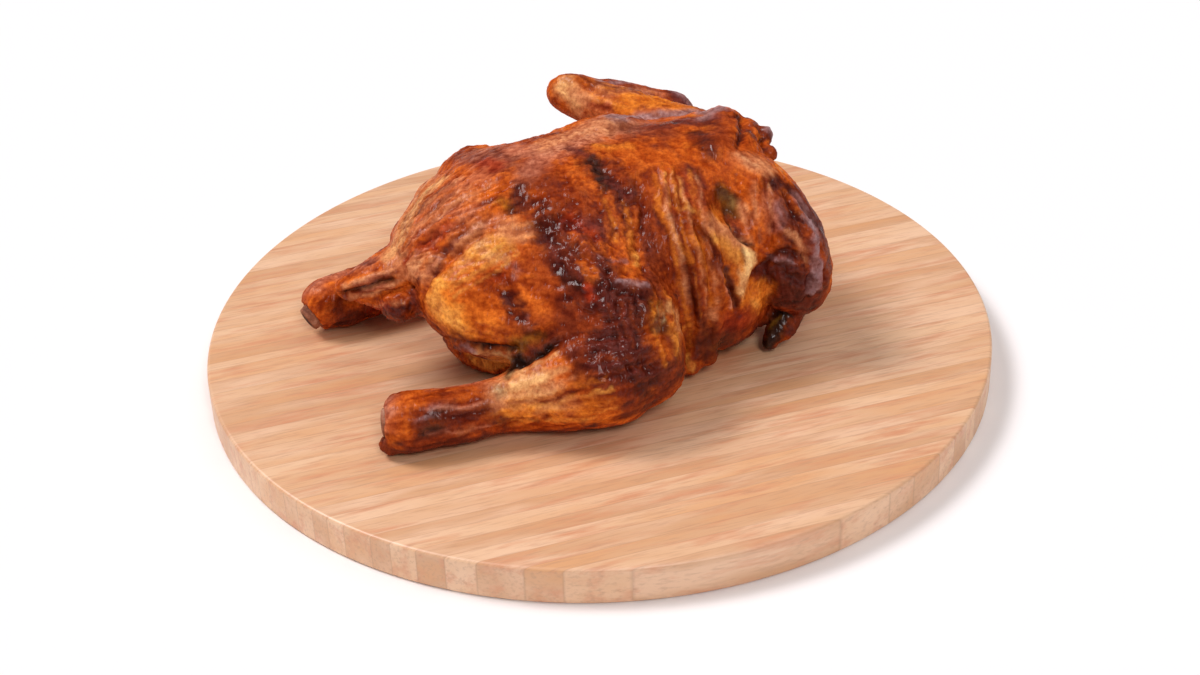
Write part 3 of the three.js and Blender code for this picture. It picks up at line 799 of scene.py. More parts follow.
# Grooves and ridges that the photograph shows: height, half width, and the pixels that each one follows.
CREASES = {
    "crevice above the drumstick": (-2.4, 2.0, [(520, 364), (530, 359), (544, 350), (556, 342)]),
    "groove above the vent flap": (-2.4, 1.4, [(446, 339), (458, 343), (478, 345), (498, 348), (516, 349)]),
    "rim of the vent flap": (1.0, 1.5, [(454, 348), (466, 350), (478, 352)]),
    "fold between rump and bulge": (-2.0, 2.0, [(424, 292), (431, 276), (450, 259), (463, 248), (480, 234)]),
    "groove round the tail head": (-1.6, 1.8, [(404, 258), (412, 248), (430, 246), (444, 253)]),
    "rump, ridge": (1.2, 2.2, [(414, 243), (447, 220), (485, 210), (508, 197)]),
    "rump, groove above the ridge": (-1.0, 1.6, [(418, 238), (440, 214), (470, 200), (505, 188)]),
    "rump, left ridge": (1.0, 1.8, [(409, 228), (430, 200), (455, 182)]),
    "bulge, dent of the burn": (-1.8, 3.5, [(508, 292), (514, 304), (520, 318)]),
    "thigh stripe, hollow": (-1.6, 6.0, [(520, 196), (540, 222), (556, 250), (566, 275)]),
    "back stripe, groove": (
        -1.5, 1.8, [(637, 185), (645, 212), (641, 228), (637, 239), (641, 262), (645, 270)],
    ),
    "back stripe, dent": (-1.0, 3.0, [(600, 166), (612, 185), (630, 198)]),
    "side bar, middle ridge": (1.3, 1.6, [(671, 170), (675, 190), (678, 212)]),
    "side bar, left ridge": (1.0, 1.4, [(662, 172), (664, 192), (668, 215)]),
    "side bar, right ridge": (0.9, 1.2, [(681, 172), (686, 195), (688, 215)]),
    "side, ridge by the web": (1.2, 1.8, [(690, 232), (697, 246), (704, 264), (708, 290)]),
    "side, groove by the web": (-1.8, 1.6, [(697, 228), (710, 245), (720, 266), (726, 290)]),
    "side, long groove": (-1.3, 1.3, [(682, 250), (690, 290), (695, 330)]),
    "web, ridge": (1.8, 1.2, [(718, 262), (723, 287), (731, 310)]),
    "web, dark fold": (-2.4, 1.6, [(725, 270), (730, 288), (736, 308)]),
    "web, cream ridge": (1.2, 2.4, [(750, 250), (747, 270), (741, 292), (738, 306)]),
    "web, groove under the hollow": (-1.8, 1.0, [(731, 230), (740, 240), (752, 247)]),
    "knee, left groove": (-1.2, 1.2, [(660, 290), (662, 315), (668, 340)]),
    "knee, ridge": (1.2, 1.4, [(669, 300), (671, 325), (676, 345)]),
    "knee, cross groove": (-1.2, 1.3, [(650, 350), (664, 340), (676, 330)]),
    "drumstick, tendon groove": (-0.9, 1.1, [(505, 426), (528, 418), (552, 418)]),
    "drumstick, fine groove": (-0.8, 1.0, [(543, 404), (566, 396), (591, 384)]),
    "far wing, notch": (-1.4, 1.6, [(581, 83), (590, 90), (600, 96)]),
    "back, ridge above the stripe": (1.2, 2.0, [(612, 185), (640, 172), (660, 166)]),
    "thigh, groove left of the patch": (-1.2, 1.6, [(570, 300), (590, 318), (612, 322)]),
    "thigh, fold": (1.4, 2.2, [(618, 284), (632, 281), (648, 286)]),
    "thigh, groove under the fold": (-1.3, 1.6, [(612, 296), (632, 293), (650, 300)]),
    "thigh, ridge in the patch": (1.2, 1.5, [(604, 300), (610, 316), (618, 330)]),
    "thigh, ridge above the patch": (1.3, 2.0, [(585, 248), (602, 262), (620, 270)]),
    "wing, valley": (-2.4, 2.2, [(764, 186), (770, 206), (772, 228), (768, 246)]),
    "wing, second valley": (-2.2, 1.8, [(786, 194), (792, 214), (801, 232), (808, 255)]),
    "wing, top of the blob": (1.2, 2.5, [(778, 258), (792, 262), (804, 272)]),
    "wing, groove over the blob": (-2.4, 2.0, [(754, 274), (767, 261), (778, 252), (790, 251), (802, 258)]),
    "wing, orange band": (1.4, 4.0, [(752, 188), (758, 214), (761, 238)]),
    "wing, ridge in the valley": (1.2, 2.0, [(772, 196), (778, 214), (784, 230)]),
    "wing, right ridge": (1.0, 1.8, [(794, 204), (804, 222), (812, 240)]),
    "wing, second ridge": (1.5, 3.0, [(780, 200), (782, 216)]),
    "shoulder, ridge": (1.5, 3.0, [(714, 111), (730, 107)]),
    "neck, crease": (-2.5, 2.2, [(738, 108), (743, 124), (740, 146)]),
    "neck, first scrap": (1.5, 2.5, [(748, 124), (756, 134)]),
    "neck, groove": (-2.0, 1.8, [(754, 118), (760, 134), (762, 150)]),
    "neck, second scrap": (1.5, 2.0, [(766, 130), (770, 144)]),
    "wing, groove right of the blob": (-2.2, 1.8, [(806, 256), (811, 276), (806, 300)]),
    "tail, slit": (-3.4, 1.6, [(340, 295), (350, 291), (364, 288), (380, 284), (392, 280)]),
    "tail, upper lip": (1.0, 1.5, [(350, 286), (358, 281), (374, 276), (392, 272)]),
    "tail, lower lip": (1.3, 1.3, [(350, 298), (367, 293), (386, 288), (402, 284)]),
}
# Height in millimetres of each pattern on plain skin. On a wrinkled patch the crinkles grow by all of its
# change, and the wrinkles and the grain by PATCH_SHARE of it.
WRINKLE_HEIGHT = 0.22
GRAIN_HEIGHT = 0.16
CRINKLE_HEIGHT = 0.1
SWELLING_HEIGHT = 1.3
GRIT_HEIGHT = 0.06
FINE_GRAIN_HEIGHT = 0.08
PATCH_SHARE = 0.3
# How much of a crease's height goes into the shaded relief: painted shade in grooves, painted light on
# ridges.
CREASE_SHADE = 0.5

patches = np.zeros(len(places))
for extra, half_width, pixels in WRINKLED.values():
    far = distance_to(line_on_skin(pixels), places, half_width * 2)
    patches += extra * np.exp(-((far / half_width) ** 2))
part = PATCH_SHARE * patches
height = (WRINKLE_HEIGHT + part) * wrinkles + (GRAIN_HEIGHT + part) * grain
height += (
    (CRINKLE_HEIGHT + patches) * crinkles
    + SWELLING_HEIGHT * lumps
    + GRIT_HEIGHT * grit
    + FINE_GRAIN_HEIGHT * fine_grain
)
# The shaded relief: the skin's small heights without the swellings, plus part of each crease, later painted
# into the colour as shade in hollows and light on ridges.
shaded_relief = height - SWELLING_HEIGHT * lumps
for raised, half_width, pixels in CREASES.values():
    far = distance_to(line_on_skin(pixels), places, half_width * 3)
    form = raised * np.exp(-((far / half_width) ** 2))
    height += form
    shaded_relief += CREASE_SHADE * form
# Bundles of streaks, where the skin was pulled tight before it browned: the tones that take turns, the height
# of a streak of the first tone, half width, strength, how many, and the two outermost lines in pixels.
STREAKS = {
    "rump, upper left": (
        ("orange", "rust", "tan", "brown"), 0.3, 0.9, 0.5, 17,
        [(404, 258), (428, 232), (458, 206), (505, 182)], [(394, 250), (404, 216), (428, 186), (452, 164)],
    ),
    "rump, lower": (
        ("orange", "rust", "rose", "brown"), 0.3, 1.0, 0.5, 9,
        [(432, 282), (448, 262), (472, 240), (502, 222)], [(408, 252), (428, 234), (458, 212), (506, 192)],
    ),
    "hip, above the bulge": (
        ("straw", "orange"), 0.15, 0.9, 0.5, 7,
        [(442, 282), (462, 262), (486, 246), (506, 238)], [(446, 300), (474, 284), (504, 268), (524, 250)],
    ),
    "thigh, dark stripe": (
        ("plum", "maroon", "brown"), 0.35, 0.8, 0.6, 9,
        [(544, 222), (554, 256), (572, 290)], [(578, 222), (600, 250), (614, 276)],
    ),
    "thigh, dark patch": (
        ("plum", "maroon", "rust"), 0.45, 0.8, 0.55, 9,
        [(598, 294), (604, 318), (614, 346)], [(628, 300), (634, 322), (644, 346)],
    ),
    "thigh, below the dark patch": (
        ("plum", "maroon", "rust"), 0.3, 0.8, 0.5, 9,
        [(572, 350), (600, 346), (630, 352)], [(590, 392), (622, 390), (650, 376)],
    ),
    "knee, right": (
        ("gold", "amber", "orange", "rust"), 0.3, 0.8, 0.5, 10,
        [(648, 296), (656, 330), (664, 366)], [(690, 286), (694, 330), (690, 366)],
    ),
    "side, from the back down": (
        ("gold", "rust", "tan", "brown"), 0.3, 0.8, 0.5, 12,
        [(652, 166), (660, 210), (676, 260), (688, 330)], [(700, 164), (708, 210), (716, 262), (724, 316)],
    ),
    "side, pale bar": (
        ("straw", "rust"), 0.3, 0.7, 0.5, 5,
        [(664, 172), (668, 192), (672, 214)], [(680, 174), (683, 194), (686, 212)],
    ),
    "back, beside the stripe": (
        ("orange", "brown", "gold", "rust"), 0.2, 0.9, 0.6, 9,
        [(590, 186), (604, 212), (612, 250)], [(634, 202), (636, 226), (640, 262)],
    ),
    "drumstick, upper": (
        ("cream", "orange", "tan"), 0.12, 0.9, 0.5, 7,
        [(498, 380), (530, 368), (562, 354)], [(502, 402), (532, 396), (576, 380)],
    ),
    "drumstick, lower": (
        ("gold", "rust", "straw", "amber"), 0.2, 0.8, 0.5, 8,
        [(506, 404), (540, 398), (584, 386), (612, 376)], [(500, 424), (540, 426), (590, 424), (626, 410)],
    ),
    "shank": (
        ("rose", "brown", "rust"), 0.2, 0.8, 0.5, 7,
        [(420, 390), (456, 386), (492, 384)], [(424, 432), (462, 432), (504, 424)],
    ),
    "near wing": (
        ("orange", "rust", "tan"), 0.2, 0.9, 0.5, 6,
        [(742, 180), (748, 215), (756, 250)], [(768, 180), (772, 204), (768, 244)],
    ),
    "far wing": (
        ("orange", "rust", "gold"), 0.2, 0.9, 0.5, 6,
        [(586, 112), (630, 112), (684, 106)], [(590, 88), (635, 88), (680, 98)],
    ),
    "tail": (
        ("rust", "tan", "brown"), 0.25, 0.8, 0.5, 6,
        [(346, 290), (370, 280), (402, 272)], [(350, 301), (378, 310), (412, 310)],
    ),
}
# By chance a streak lies this share of a gap off its place, is cut short by up to this share of its end
# stretches, and is this many times as wide. The streaks of the later tones are grooves half as deep.
STREAK_OFF = 0.3
STREAK_CUT = 0.35
STREAK_WIDTHS = (0.7, 1.4)
GROOVE = -0.5
# Round a shin bone the skin stays smooth, out to these shares of the bone's own size.
CHANNEL_WALL = (1.12, 1.3)

streaked = []
for tones, raised, half_width, strength, count, first, last in STREAKS.values():
    for k, share in enumerate((np.arange(count) + rng.uniform(-STREAK_OFF, STREAK_OFF, count)) / (count - 1)):
        pixels = (1 - share) * np.array(first) + share * np.array(last)
        cut = rng.uniform(0, STREAK_CUT, 2)
        pixels[0] += cut[0] * (pixels[1] - pixels[0])
        pixels[-1] += cut[1] * (pixels[-2] - pixels[-1])
        line = line_on_skin(pixels)
        wide = half_width * rng.uniform(*STREAK_WIDTHS)
        far = distance_to(line, wandering, wide * 4) + 0.35 * wide * grit
        cover = np.exp(-((np.maximum(far, 0) / wide) ** 2))
        height += raised * (1 if k % len(tones) == 0 else GROOVE) * cover
        streaked.append((tones[k % len(tones)], strength * cover))
in_channel = np.zeros(len(places))
for stations in (NEAR_LEG_BONE, FAR_LEG_BONE):
    *_, share = beside(stations, places)
    in_channel = np.maximum(in_channel, 1 - rise(share, *CHANNEL_WALL))
height *= 1 - in_channel
write_places(mesh, places + outward * height[:, None])

# Browning, from the palest skin to the char, and one painted sky reflection: the share of red, green and blue
# light that each tone sends back.
TONES = {
    "cream": (0.84, 0.44, 0.17),
    "straw": (0.78, 0.3, 0.055),
    "gold": (0.72, 0.19, 0.02),
    "orange": (0.52, 0.088, 0.009),
    "amber": (0.4, 0.06, 0.005),
    "red": (0.32, 0.027, 0.007),
    "rust": (0.27, 0.035, 0.006),
    "brown": (0.14, 0.018, 0.006),
    "maroon": (0.075, 0.009, 0.005),
    "plum": (0.13, 0.02, 0.014),
    # Not a browning: a painted reflection of the pale sky, laid on ridges, rims and folds as painted
    # highlights.
    "painted sky reflection": (0.31, 0.165, 0.16),
    "rose": (0.5, 0.16, 0.09),
    "tan": (0.62, 0.22, 0.09),
    "olive": (0.2, 0.075, 0.006),
    "grey green": (0.28, 0.2, 0.1),
    "char": (0.022, 0.008, 0.004),
}
# What lies where: tone, half width, softness of its edge, strength, and the pixels that it follows. Besides
# browning, some strokes are painted shade in folds, hollows and under overhangs, and some are painted
# highlights.
BROWNING_AND_PAINTED_LIGHT = {
    # back and rump
    "back, rosy ridge": ("rose", 9, 7, 0.8, [(540, 152), (590, 134), (625, 126)]),
    "back, rosy left": ("rose", 6, 5, 0.6, [(526, 172), (540, 160), (556, 150), (576, 144)]),
    "back, pale ridge": ("tan", 8, 7, 0.85, [(548, 146), (590, 132), (616, 124)]),
    "back, pale far edge": ("tan", 4, 3, 0.7, [(580, 114), (606, 112)]),
    "back, plum mottle": ("plum", 7, 5, 0.6, [(625, 128), (660, 132)]),
    "back, bright orange": ("orange", 7, 5, 0.8, [(592, 152), (625, 152), (662, 160)]),
    "back, bright gold": ("gold", 2.5, 2.5, 0.7, [(596, 147), (626, 147)]),
    "back, orange beside the stripe": ("orange", 8, 5, 0.45, [(555, 162), (580, 178), (590, 188)]),
    "back, orange right of the stripe": ("orange", 7, 4, 0.8, [(652, 166), (654, 190), (668, 160)]),
    "rump, orange field": ("orange", 20, 9, 0.55, [(412, 232), (445, 195), (490, 190)]),
    "rump, rosy field": ("rose", 12, 8, 0.45, [(430, 214), (452, 190), (474, 172)]),
    "rump, left rim": ("tan", 6, 5, 0.8, [(394, 250), (402, 224), (416, 198), (434, 178)]),
    "rump, pale left rim": ("cream", 5, 4, 0.6, [(396, 248), (408, 220), (422, 196), (444, 178)]),
    "rump, plum shoulder": ("plum", 7, 5, 0.6, [(466, 153), (490, 158), (526, 168)]),
    "rump, rosy shoulder": ("rose", 8, 5, 0.75, [(458, 160), (486, 152), (516, 150)]),
    "rump, red spots": ("red", 4, 3, 0.7, [(482, 163), (496, 166)]),
    "rump, orange spots": ("orange", 4, 3, 0.85, [(444, 168), (468, 173)]),
    "rump, brown speckles": ("brown", 5, 4, 0.6, [(424, 207), (442, 196), (452, 192)]),
    "rump, plum patch": ("plum", 2.5, 2, 0.5, [(440, 190), (450, 185)]),
    "rump, pink ridge": ("rose", 2, 1.6, 0.8, [(413, 240), (428, 228), (444, 216), (482, 207)]),
    "rump, red hollow": ("red", 5, 3, 0.75, [(420, 242), (436, 232), (448, 228)]),
    "rump, red rim of the tail head": ("red", 2, 1.6, 0.85, [(405, 258), (412, 247), (426, 243), (436, 247)]),
    "tail head": ("tan", 7, 4, 0.75, [(402, 262), (412, 268), (430, 266)]),
    "tail head, pale": ("tan", 2.5, 3, 0.5, [(412, 268), (424, 262)]),
    # Painted shade in the fold between rump and bulge.
    "rump, painted shade in the fold": ("brown", 1.6, 1.4, 0.85, [(430, 284), (438, 264), (450, 246), (462, 232)]),
    "rump, tan slope": ("tan", 4.5, 4, 0.8, [(456, 248), (468, 232), (480, 224)]),
    "rump, tan streak": ("tan", 4, 4, 0.6, [(426, 226), (448, 208), (476, 196)]),
    "rump, olive spot": ("olive", 2.5, 2, 0.6, [(500, 200), (510, 206)]),
    # the hip's golden bulge
    "bulge": ("orange", 22, 7, 0.95, [(450, 300), (480, 290), (510, 290)]),
    "bulge, golden left": ("gold", 8, 5, 0.9, [(440, 288), (438, 306), (456, 322), (484, 328)]),
    "bulge, golden rim": ("straw", 5, 4, 0.85, [(440, 284), (435, 300), (442, 314), (456, 321)]),
    "bulge, straw top": ("straw", 7, 5, 0.7, [(470, 254), (486, 248), (502, 246)]),
    "bulge, tan top right": ("tan", 5, 4, 0.8, [(504, 226), (518, 232)]),
    "bulge, cream": ("cream", 2.2, 2, 0.85, [(478, 244), (486, 254), (504, 261)]),
    "bulge, rosy lines": ("rose", 1.6, 1.6, 0.6, [(452, 276), (466, 262)]),
    "bulge, rust mottle": ("rust", 6, 5, 0.7, [(464, 284), (488, 278), (514, 272), (528, 258)]),
    "bulge, red speckles": ("red", 2.5, 2, 0.6, [(478, 272), (500, 272), (520, 250)]),
    # Painted sky reflection on the bulge.
    "bulge, lilac spot": ("painted sky reflection", 1.2, 1.4, 0.35, [(515, 266), (516, 274)]),
    "bulge, left rim": ("rust", 2.5, 2, 0.8, [(425, 300), (428, 316), (438, 330)]),
    # Painted shade along the bulge's lower rim.
    "bulge, painted shade on the lower rim": ("brown", 2.5, 2.5, 0.85, [(440, 334), (456, 339), (478, 341)]),
    "bulge, burn": ("maroon", 1.8, 1.8, 0.85, [(507, 297), (513, 308)]),
    "bulge, orange middle": ("orange", 5, 4, 0.75, [(476, 316), (496, 320)]),
    "bulge, below the burn": ("rust", 6, 4, 0.8, [(508, 324), (526, 312), (544, 322)]),
    "bulge, burn's tail": ("maroon", 3.4, 3, 0.85, [(519, 304), (523, 320), (527, 338)]),
    # Painted sky reflection on the burn's rim.
    "bulge, burn's rim": ("painted sky reflection", 1.0, 1.2, 0.4, [(528, 318), (532, 328)]),
    "bulge, spot right of the burn": ("orange", 4, 3, 0.8, [(532, 304), (542, 312)]),
    "bulge, rust edge": ("rust", 11, 6, 0.9, [(542, 268), (556, 290), (560, 322)]),
    "bulge, brown edge": ("brown", 6, 4, 0.8, [(568, 300), (566, 332)]),
    "bulge, shaded underside": ("amber", 6, 4, 0.85, [(480, 340), (510, 344), (545, 336)]),
    # Painted shade under the overhanging bulge.
    "bulge, painted shade underneath": ("brown", 4.5, 3, 0.9, [(512, 352), (530, 348), (552, 338)]),
    "bulge, olive painted shade underneath": ("olive", 3, 3, 0.6, [(514, 344), (534, 338)]),
    # Painted shade down in the crevice above the drumstick.
    "crevice, painted shade at the bottom": ("char", 1.9, 1.4, 0.97, [(508, 374), (515, 366), (524, 361), (534, 356), (550, 346)]),
    "crevice, painted shade by the flap": ("char", 1.8, 1.5, 0.93, [(510, 371), (516, 365), (519, 358)]),
    # dark stripe from the rump down the thigh
    "thigh stripe, top": ("brown", 9, 5, 0.9, [(536, 186), (566, 206), (600, 226)]),
    "thigh stripe, dark start": ("maroon", 4, 3, 0.85, [(515, 192), (520, 206)]),
    "thigh stripe, orange spot": ("orange", 2.4, 2, 0.7, [(532, 191), (540, 193)]),
    "thigh stripe": ("maroon", 7, 4, 0.9, [(544, 220), (556, 246), (572, 276), (590, 290)]),
    "thigh stripe, brown middle": ("brown", 5, 3, 0.6, [(556, 232), (574, 250), (600, 258)]),
    "thigh stripe, red": ("red", 4, 3, 0.8, [(574, 226), (590, 232)]),
    "thigh stripe, plum": ("plum", 3, 2.5, 0.7, [(588, 222), (612, 232)]),
    "thigh, dark patch": ("maroon", 13, 5, 0.97, [(592, 284), (614, 304), (632, 336)]),
    "thigh, dark patch, lower": ("maroon", 13, 5, 0.97, [(588, 346), (615, 360), (650, 366)]),
    "thigh, dark patch, left": ("maroon", 4.5, 4, 0.85, [(582, 370), (600, 374)]),
    "thigh, dark patch, right": ("maroon", 5, 3, 0.85, [(630, 288), (644, 290)]),
    # Painted sky reflections on the thigh's folds.
    "thigh, lilac sheen": ("painted sky reflection", 1.0, 1.2, 0.5, [(600, 258), (612, 263), (624, 262)]),
    "thigh, lilac fold": ("painted sky reflection", 1.0, 1.0, 0.6, [(618, 284), (632, 283), (646, 285)]),
    "thigh, orange spot": ("orange", 2.6, 1.8, 0.95, [(583, 260), (588, 268), (593, 276)]),
    "thigh, bright spot": ("orange", 1.2, 1.2, 0.6, [(586, 266), (590, 272)]),
    "thigh, orange right of the patch": ("orange", 5, 3, 0.85, [(624, 246), (634, 262), (632, 274)]),
    "thigh, golden dots": ("straw", 1.5, 1.2, 0.75, [(634, 250), (637, 262)]),
    "thigh, charred crinkles": ("char", 2.5, 2, 0.6, [(562, 276), (578, 284)]),
    "thigh, red spot": ("red", 2, 1.5, 0.85, [(589, 288), (592, 296)]),
    "thigh, rust island": ("rust", 3, 2.5, 0.6, [(586, 324), (598, 322)]),
    "thigh, left of the patch": ("rust", 7, 5, 0.85, [(566, 318), (574, 342)]),
    # back stripe
    "back stripe, thin start": ("plum", 2.5, 2, 0.85, [(570, 149), (584, 155), (592, 158)]),
    "back stripe, charred edge": ("char", 2.4, 2, 0.8, [(592, 160), (598, 172), (606, 186)]),
    "back stripe": ("maroon", 7.5, 4, 0.95, [(598, 162), (612, 178), (628, 194), (640, 212)]),
    "back stripe, sheen": ("plum", 1.6, 1.5, 0.6, [(606, 180), (622, 190), (632, 196)]),
    "back stripe, rust spots": ("rust", 3, 3, 0.8, [(612, 168), (624, 180)]),
    "back stripe, tail": ("brown", 6, 4, 0.9, [(636, 206), (646, 230), (656, 252)]),
    "back, below the stripe": ("brown", 9, 6, 0.8, [(636, 226), (650, 262), (656, 292)]),
    "back, lower field": ("rust", 8, 5, 0.6, [(550, 204), (578, 208)]),
    "back, upper field": ("rust", 7, 5, 0.6, [(548, 178), (564, 198), (596, 206)]),
    # thigh's right side and knee
    "side below the back": ("rust", 7, 5, 0.7, [(662, 262), (668, 290)]),
    "knee, lower": ("rust", 8, 5, 0.8, [(664, 352), (678, 370)]),
    "knee, olive": ("olive", 3.2, 2.4, 0.85, [(658, 308), (660, 324)]),
    "knee, grey-green sheen": ("grey green", 2, 1.8, 0.7, [(659, 312), (662, 326)]),
    "knee, cream": ("cream", 2, 2.4, 0.6, [(668, 308), (676, 318), (680, 330)]),
    "knee, straw": ("straw", 2.2, 2.4, 0.6, [(674, 328), (678, 348)]),
    "knee, orange lines": ("orange", 3.5, 3, 0.7, [(650, 330), (662, 348)]),
    "knee, maroon": ("maroon", 7, 5, 0.8, [(640, 392), (662, 376), (674, 356)]),
    "knee, brown rim": ("brown", 5, 3, 0.85, [(626, 414), (654, 402), (676, 376)]),
    "knee, rust": ("rust", 6, 4, 0.8, [(596, 386), (620, 396)]),
    # drumstick and shank
    "drumstick, gold": ("gold", 9, 5, 0.9, [(508, 404), (560, 408), (600, 412)]),
    "drumstick, tan": ("tan", 8, 7, 0.8, [(506, 388), (530, 386), (556, 388)]),
    "drumstick, start": ("tan", 4, 3, 0.8, [(494, 390), (500, 402)]),
    "drumstick, cream": ("cream", 4.5, 5, 0.9, [(508, 390), (526, 384), (540, 378)]),
    "drumstick, white sheen": ("cream", 1.4, 1.6, 0.6, [(509, 384), (511, 398)]),
    "drumstick, grey-green sheen": ("grey green", 2.4, 2, 0.6, [(497, 388), (503, 394)]),
    "drumstick, cream, lower": ("cream", 2, 3, 0.5, [(540, 409), (554, 405)]),
    "drumstick, orange top": ("orange", 5, 4, 0.9, [(548, 360), (566, 372), (578, 382)]),
    "drumstick, orange start": ("orange", 3, 3, 0.6, [(552, 366), (562, 372)]),
    "drumstick, pore": ("maroon", 1.1, 0.7, 0.95, [(553, 365)]),
    "drumstick, bottom": ("orange", 3.5, 3, 0.8, [(540, 424), (580, 424), (612, 414)]),
    "drumstick, tendon shadow": ("brown", 0.8, 0.8, 0.85, [(500, 416), (520, 417), (538, 423)]),
    "drumstick, tendon": ("gold", 0.8, 0.8, 0.7, [(498, 412), (520, 413), (536, 418)]),
    "drumstick, fine line": ("rust", 0.7, 0.8, 0.8, [(541, 402), (566, 395), (590, 384)]),
    "shank": ("rust", 13, 5, 0.95, [(402, 420), (430, 414), (456, 408)]),
    "shank, brown": ("brown", 5, 4, 0.8, [(466, 408), (492, 412)]),
    "shank, amber spot": ("amber", 3.5, 3, 0.75, [(466, 396), (478, 392)]),
    "shank, orange top": ("orange", 4, 3, 0.9, [(400, 402), (412, 398), (424, 394)]),
    "shank, amber top": ("amber", 3.5, 3, 0.8, [(430, 388), (460, 386)]),
    "shank, maroon": ("maroon", 5.5, 4, 0.9, [(422, 426), (436, 420), (446, 412)]),
    "shank, charred middle": ("char", 3, 3, 0.7, [(426, 430), (434, 424), (438, 416)]),
    # Painted sky reflections on the shank.
    "shank, lilac sheen": ("painted sky reflection", 1.0, 1.2, 0.5, [(428, 409), (440, 406)]),
    "shank, lilac lines": ("painted sky reflection", 0.8, 1.0, 0.5, [(414, 424), (424, 420), (440, 415)]),
    "shank, brown below": ("brown", 4.5, 3, 0.85, [(418, 432), (436, 428), (452, 422)]),
    "shank, lower edge": ("brown", 3, 2.5, 0.85, [(400, 448), (430, 446), (460, 438)]),
    "shank, pale flecks": ("tan", 1.3, 1.4, 0.4, [(460, 431), (474, 428)]),
    "ankle": ("orange", 4, 3, 0.7, [(394, 424), (404, 434)]),
    "ankle, pink end": ("rose", 5, 3, 0.7, [(390, 402), (390, 420)]),
    "ankle, orange": ("orange", 3, 2.5, 0.6, [(404, 418), (408, 430)]),
    "ankle, lower end": ("orange", 2.4, 2, 0.7, [(392, 438), (399, 447)]),
    "ankle, knob": ("brown", 4, 2.5, 0.85, [(386, 446), (394, 451)]),
    # side between thigh and wing
    "side, rust middle": ("rust", 9, 6, 0.7, [(684, 200), (692, 260), (700, 300)]),
    "side, rust left": ("rust", 6, 4, 0.85, [(652, 184), (656, 208), (668, 230), (674, 248)]),
    "side, red": ("red", 4, 3, 0.7, [(690, 176), (698, 210), (700, 236)]),
    "side, maroon": ("maroon", 2.2, 2, 0.7, [(672, 214), (684, 250), (692, 290), (700, 326)]),
    "side, bead ridge": ("gold", 1.3, 1.2, 0.7, [(656, 206), (668, 222), (680, 244), (688, 262)]),
    "side, bead shadow": ("brown", 1.2, 1.2, 0.7, [(650, 206), (664, 226), (674, 246)]),
    "side, cross lines": ("straw", 0.9, 0.9, 0.7, [(682, 210), (698, 212)]),
    "side, dark line": ("brown", 1.4, 1.3, 0.8, [(704, 224), (712, 244), (722, 266)]),
    "side, golden line": ("gold", 1.6, 1.5, 0.75, [(692, 234), (700, 250), (706, 268)]),
    "side, amber fold": ("amber", 6, 4, 0.8, [(708, 250), (714, 280), (718, 304)]),
    # Painted highlight.
    "side, painted highlight": ("tan", 1.6, 1.2, 0.8, [(713, 309), (714, 317)]),
    "side, lower straw": ("straw", 1.4, 1.2, 0.8, [(688, 358), (691, 368)]),
    "belly, maroon": ("maroon", 9, 5, 0.85, [(704, 334), (720, 344), (736, 330)]),
    "belly, red": ("red", 5, 4, 0.6, [(726, 322), (740, 318)]),
    "belly, rust": ("rust", 7, 4, 0.85, [(748, 322), (764, 312)]),
    # hollow under the wing, its fold and its web of skin
    "web, golden": ("gold", 9, 5, 0.85, [(712, 228), (728, 252), (736, 280)]),
    "web, tan": ("tan", 4, 3, 0.9, [(714, 226), (728, 233), (742, 244)]),
    "web, straw": ("straw", 2.4, 2.2, 0.8, [(712, 238), (726, 246), (738, 258)]),
    "hollow, brown": ("brown", 4, 3, 0.85, [(720, 194), (727, 204), (735, 216)]),
    "hollow, olive": ("olive", 2.6, 2.5, 0.8, [(723, 195), (728, 203), (734, 212)]),
    "hollow, grey": ("grey green", 1.4, 1.6, 0.3, [(727, 197), (731, 208)]),
    "hollow, rust rim": ("rust", 2, 2, 0.7, [(712, 196), (716, 208)]),
    "hollow, tan lip": ("tan", 2.6, 2, 0.85, [(742, 208), (746, 222)]),
    # Painted shade in the groove under the hollow.
    "web, painted shade in the groove": ("char", 0.8, 0.8, 0.85, [(728, 226), (738, 238), (753, 246)]),
    "web, cream ridge": ("cream", 2.4, 1.6, 0.85, [(748, 252), (747, 264), (743, 280), (741, 292)]),
    "web, cream top": ("cream", 3, 2, 0.9, [(743, 252), (750, 258), (747, 270)]),
    "web, amber hollow": ("amber", 3, 2, 0.75, [(732, 262), (732, 290)]),
    "web, pink line": ("rose", 0.9, 0.8, 0.85, [(719, 264), (724, 284), (729, 304)]),
    # Painted shade in the fold beside the web's ridge.
    "web, dark fold": ("maroon", 1.8, 1.3, 0.9, [(727, 272), (732, 288), (736, 304)]),
    "web, lower": ("gold", 6, 4, 0.8, [(746, 290), (762, 296)]),
    "web, lower glints": ("straw", 1.2, 1, 0.7, [(753, 302), (757, 304)]),
    # shoulder and neck
    # Painted sky reflection along the ridge of the shoulder.
    "shoulder, lilac ridge": ("painted sky reflection", 4, 2.6, 0.9, [(612, 117), (640, 116), (676, 115), (704, 111)]),
    "shoulder, plum": ("plum", 5, 3.5, 0.9, [(676, 122), (702, 121), (716, 116)]),
    # Painted sky reflection.
    "shoulder, lilac end": ("painted sky reflection", 2.4, 2.4, 0.7, [(700, 118), (716, 112), (728, 108)]),
    "shoulder, dark": ("maroon", 3.5, 3, 0.85, [(698, 132), (708, 142), (712, 152)]),
    "shoulder, brown": ("brown", 3.2, 2.6, 0.85, [(710, 122), (720, 132)]),
    "shoulder, rust": ("rust", 7, 4, 0.85, [(722, 114), (730, 132), (728, 150)]),
    # Painted shade in the crease beside the neck.
    "shoulder, painted shade in the crease": ("maroon", 1.0, 1.2, 0.85, [(736, 110), (742, 128), (738, 146)]),
    "shoulder, orange": ("orange", 5, 4, 0.8, [(742, 132), (752, 148)]),
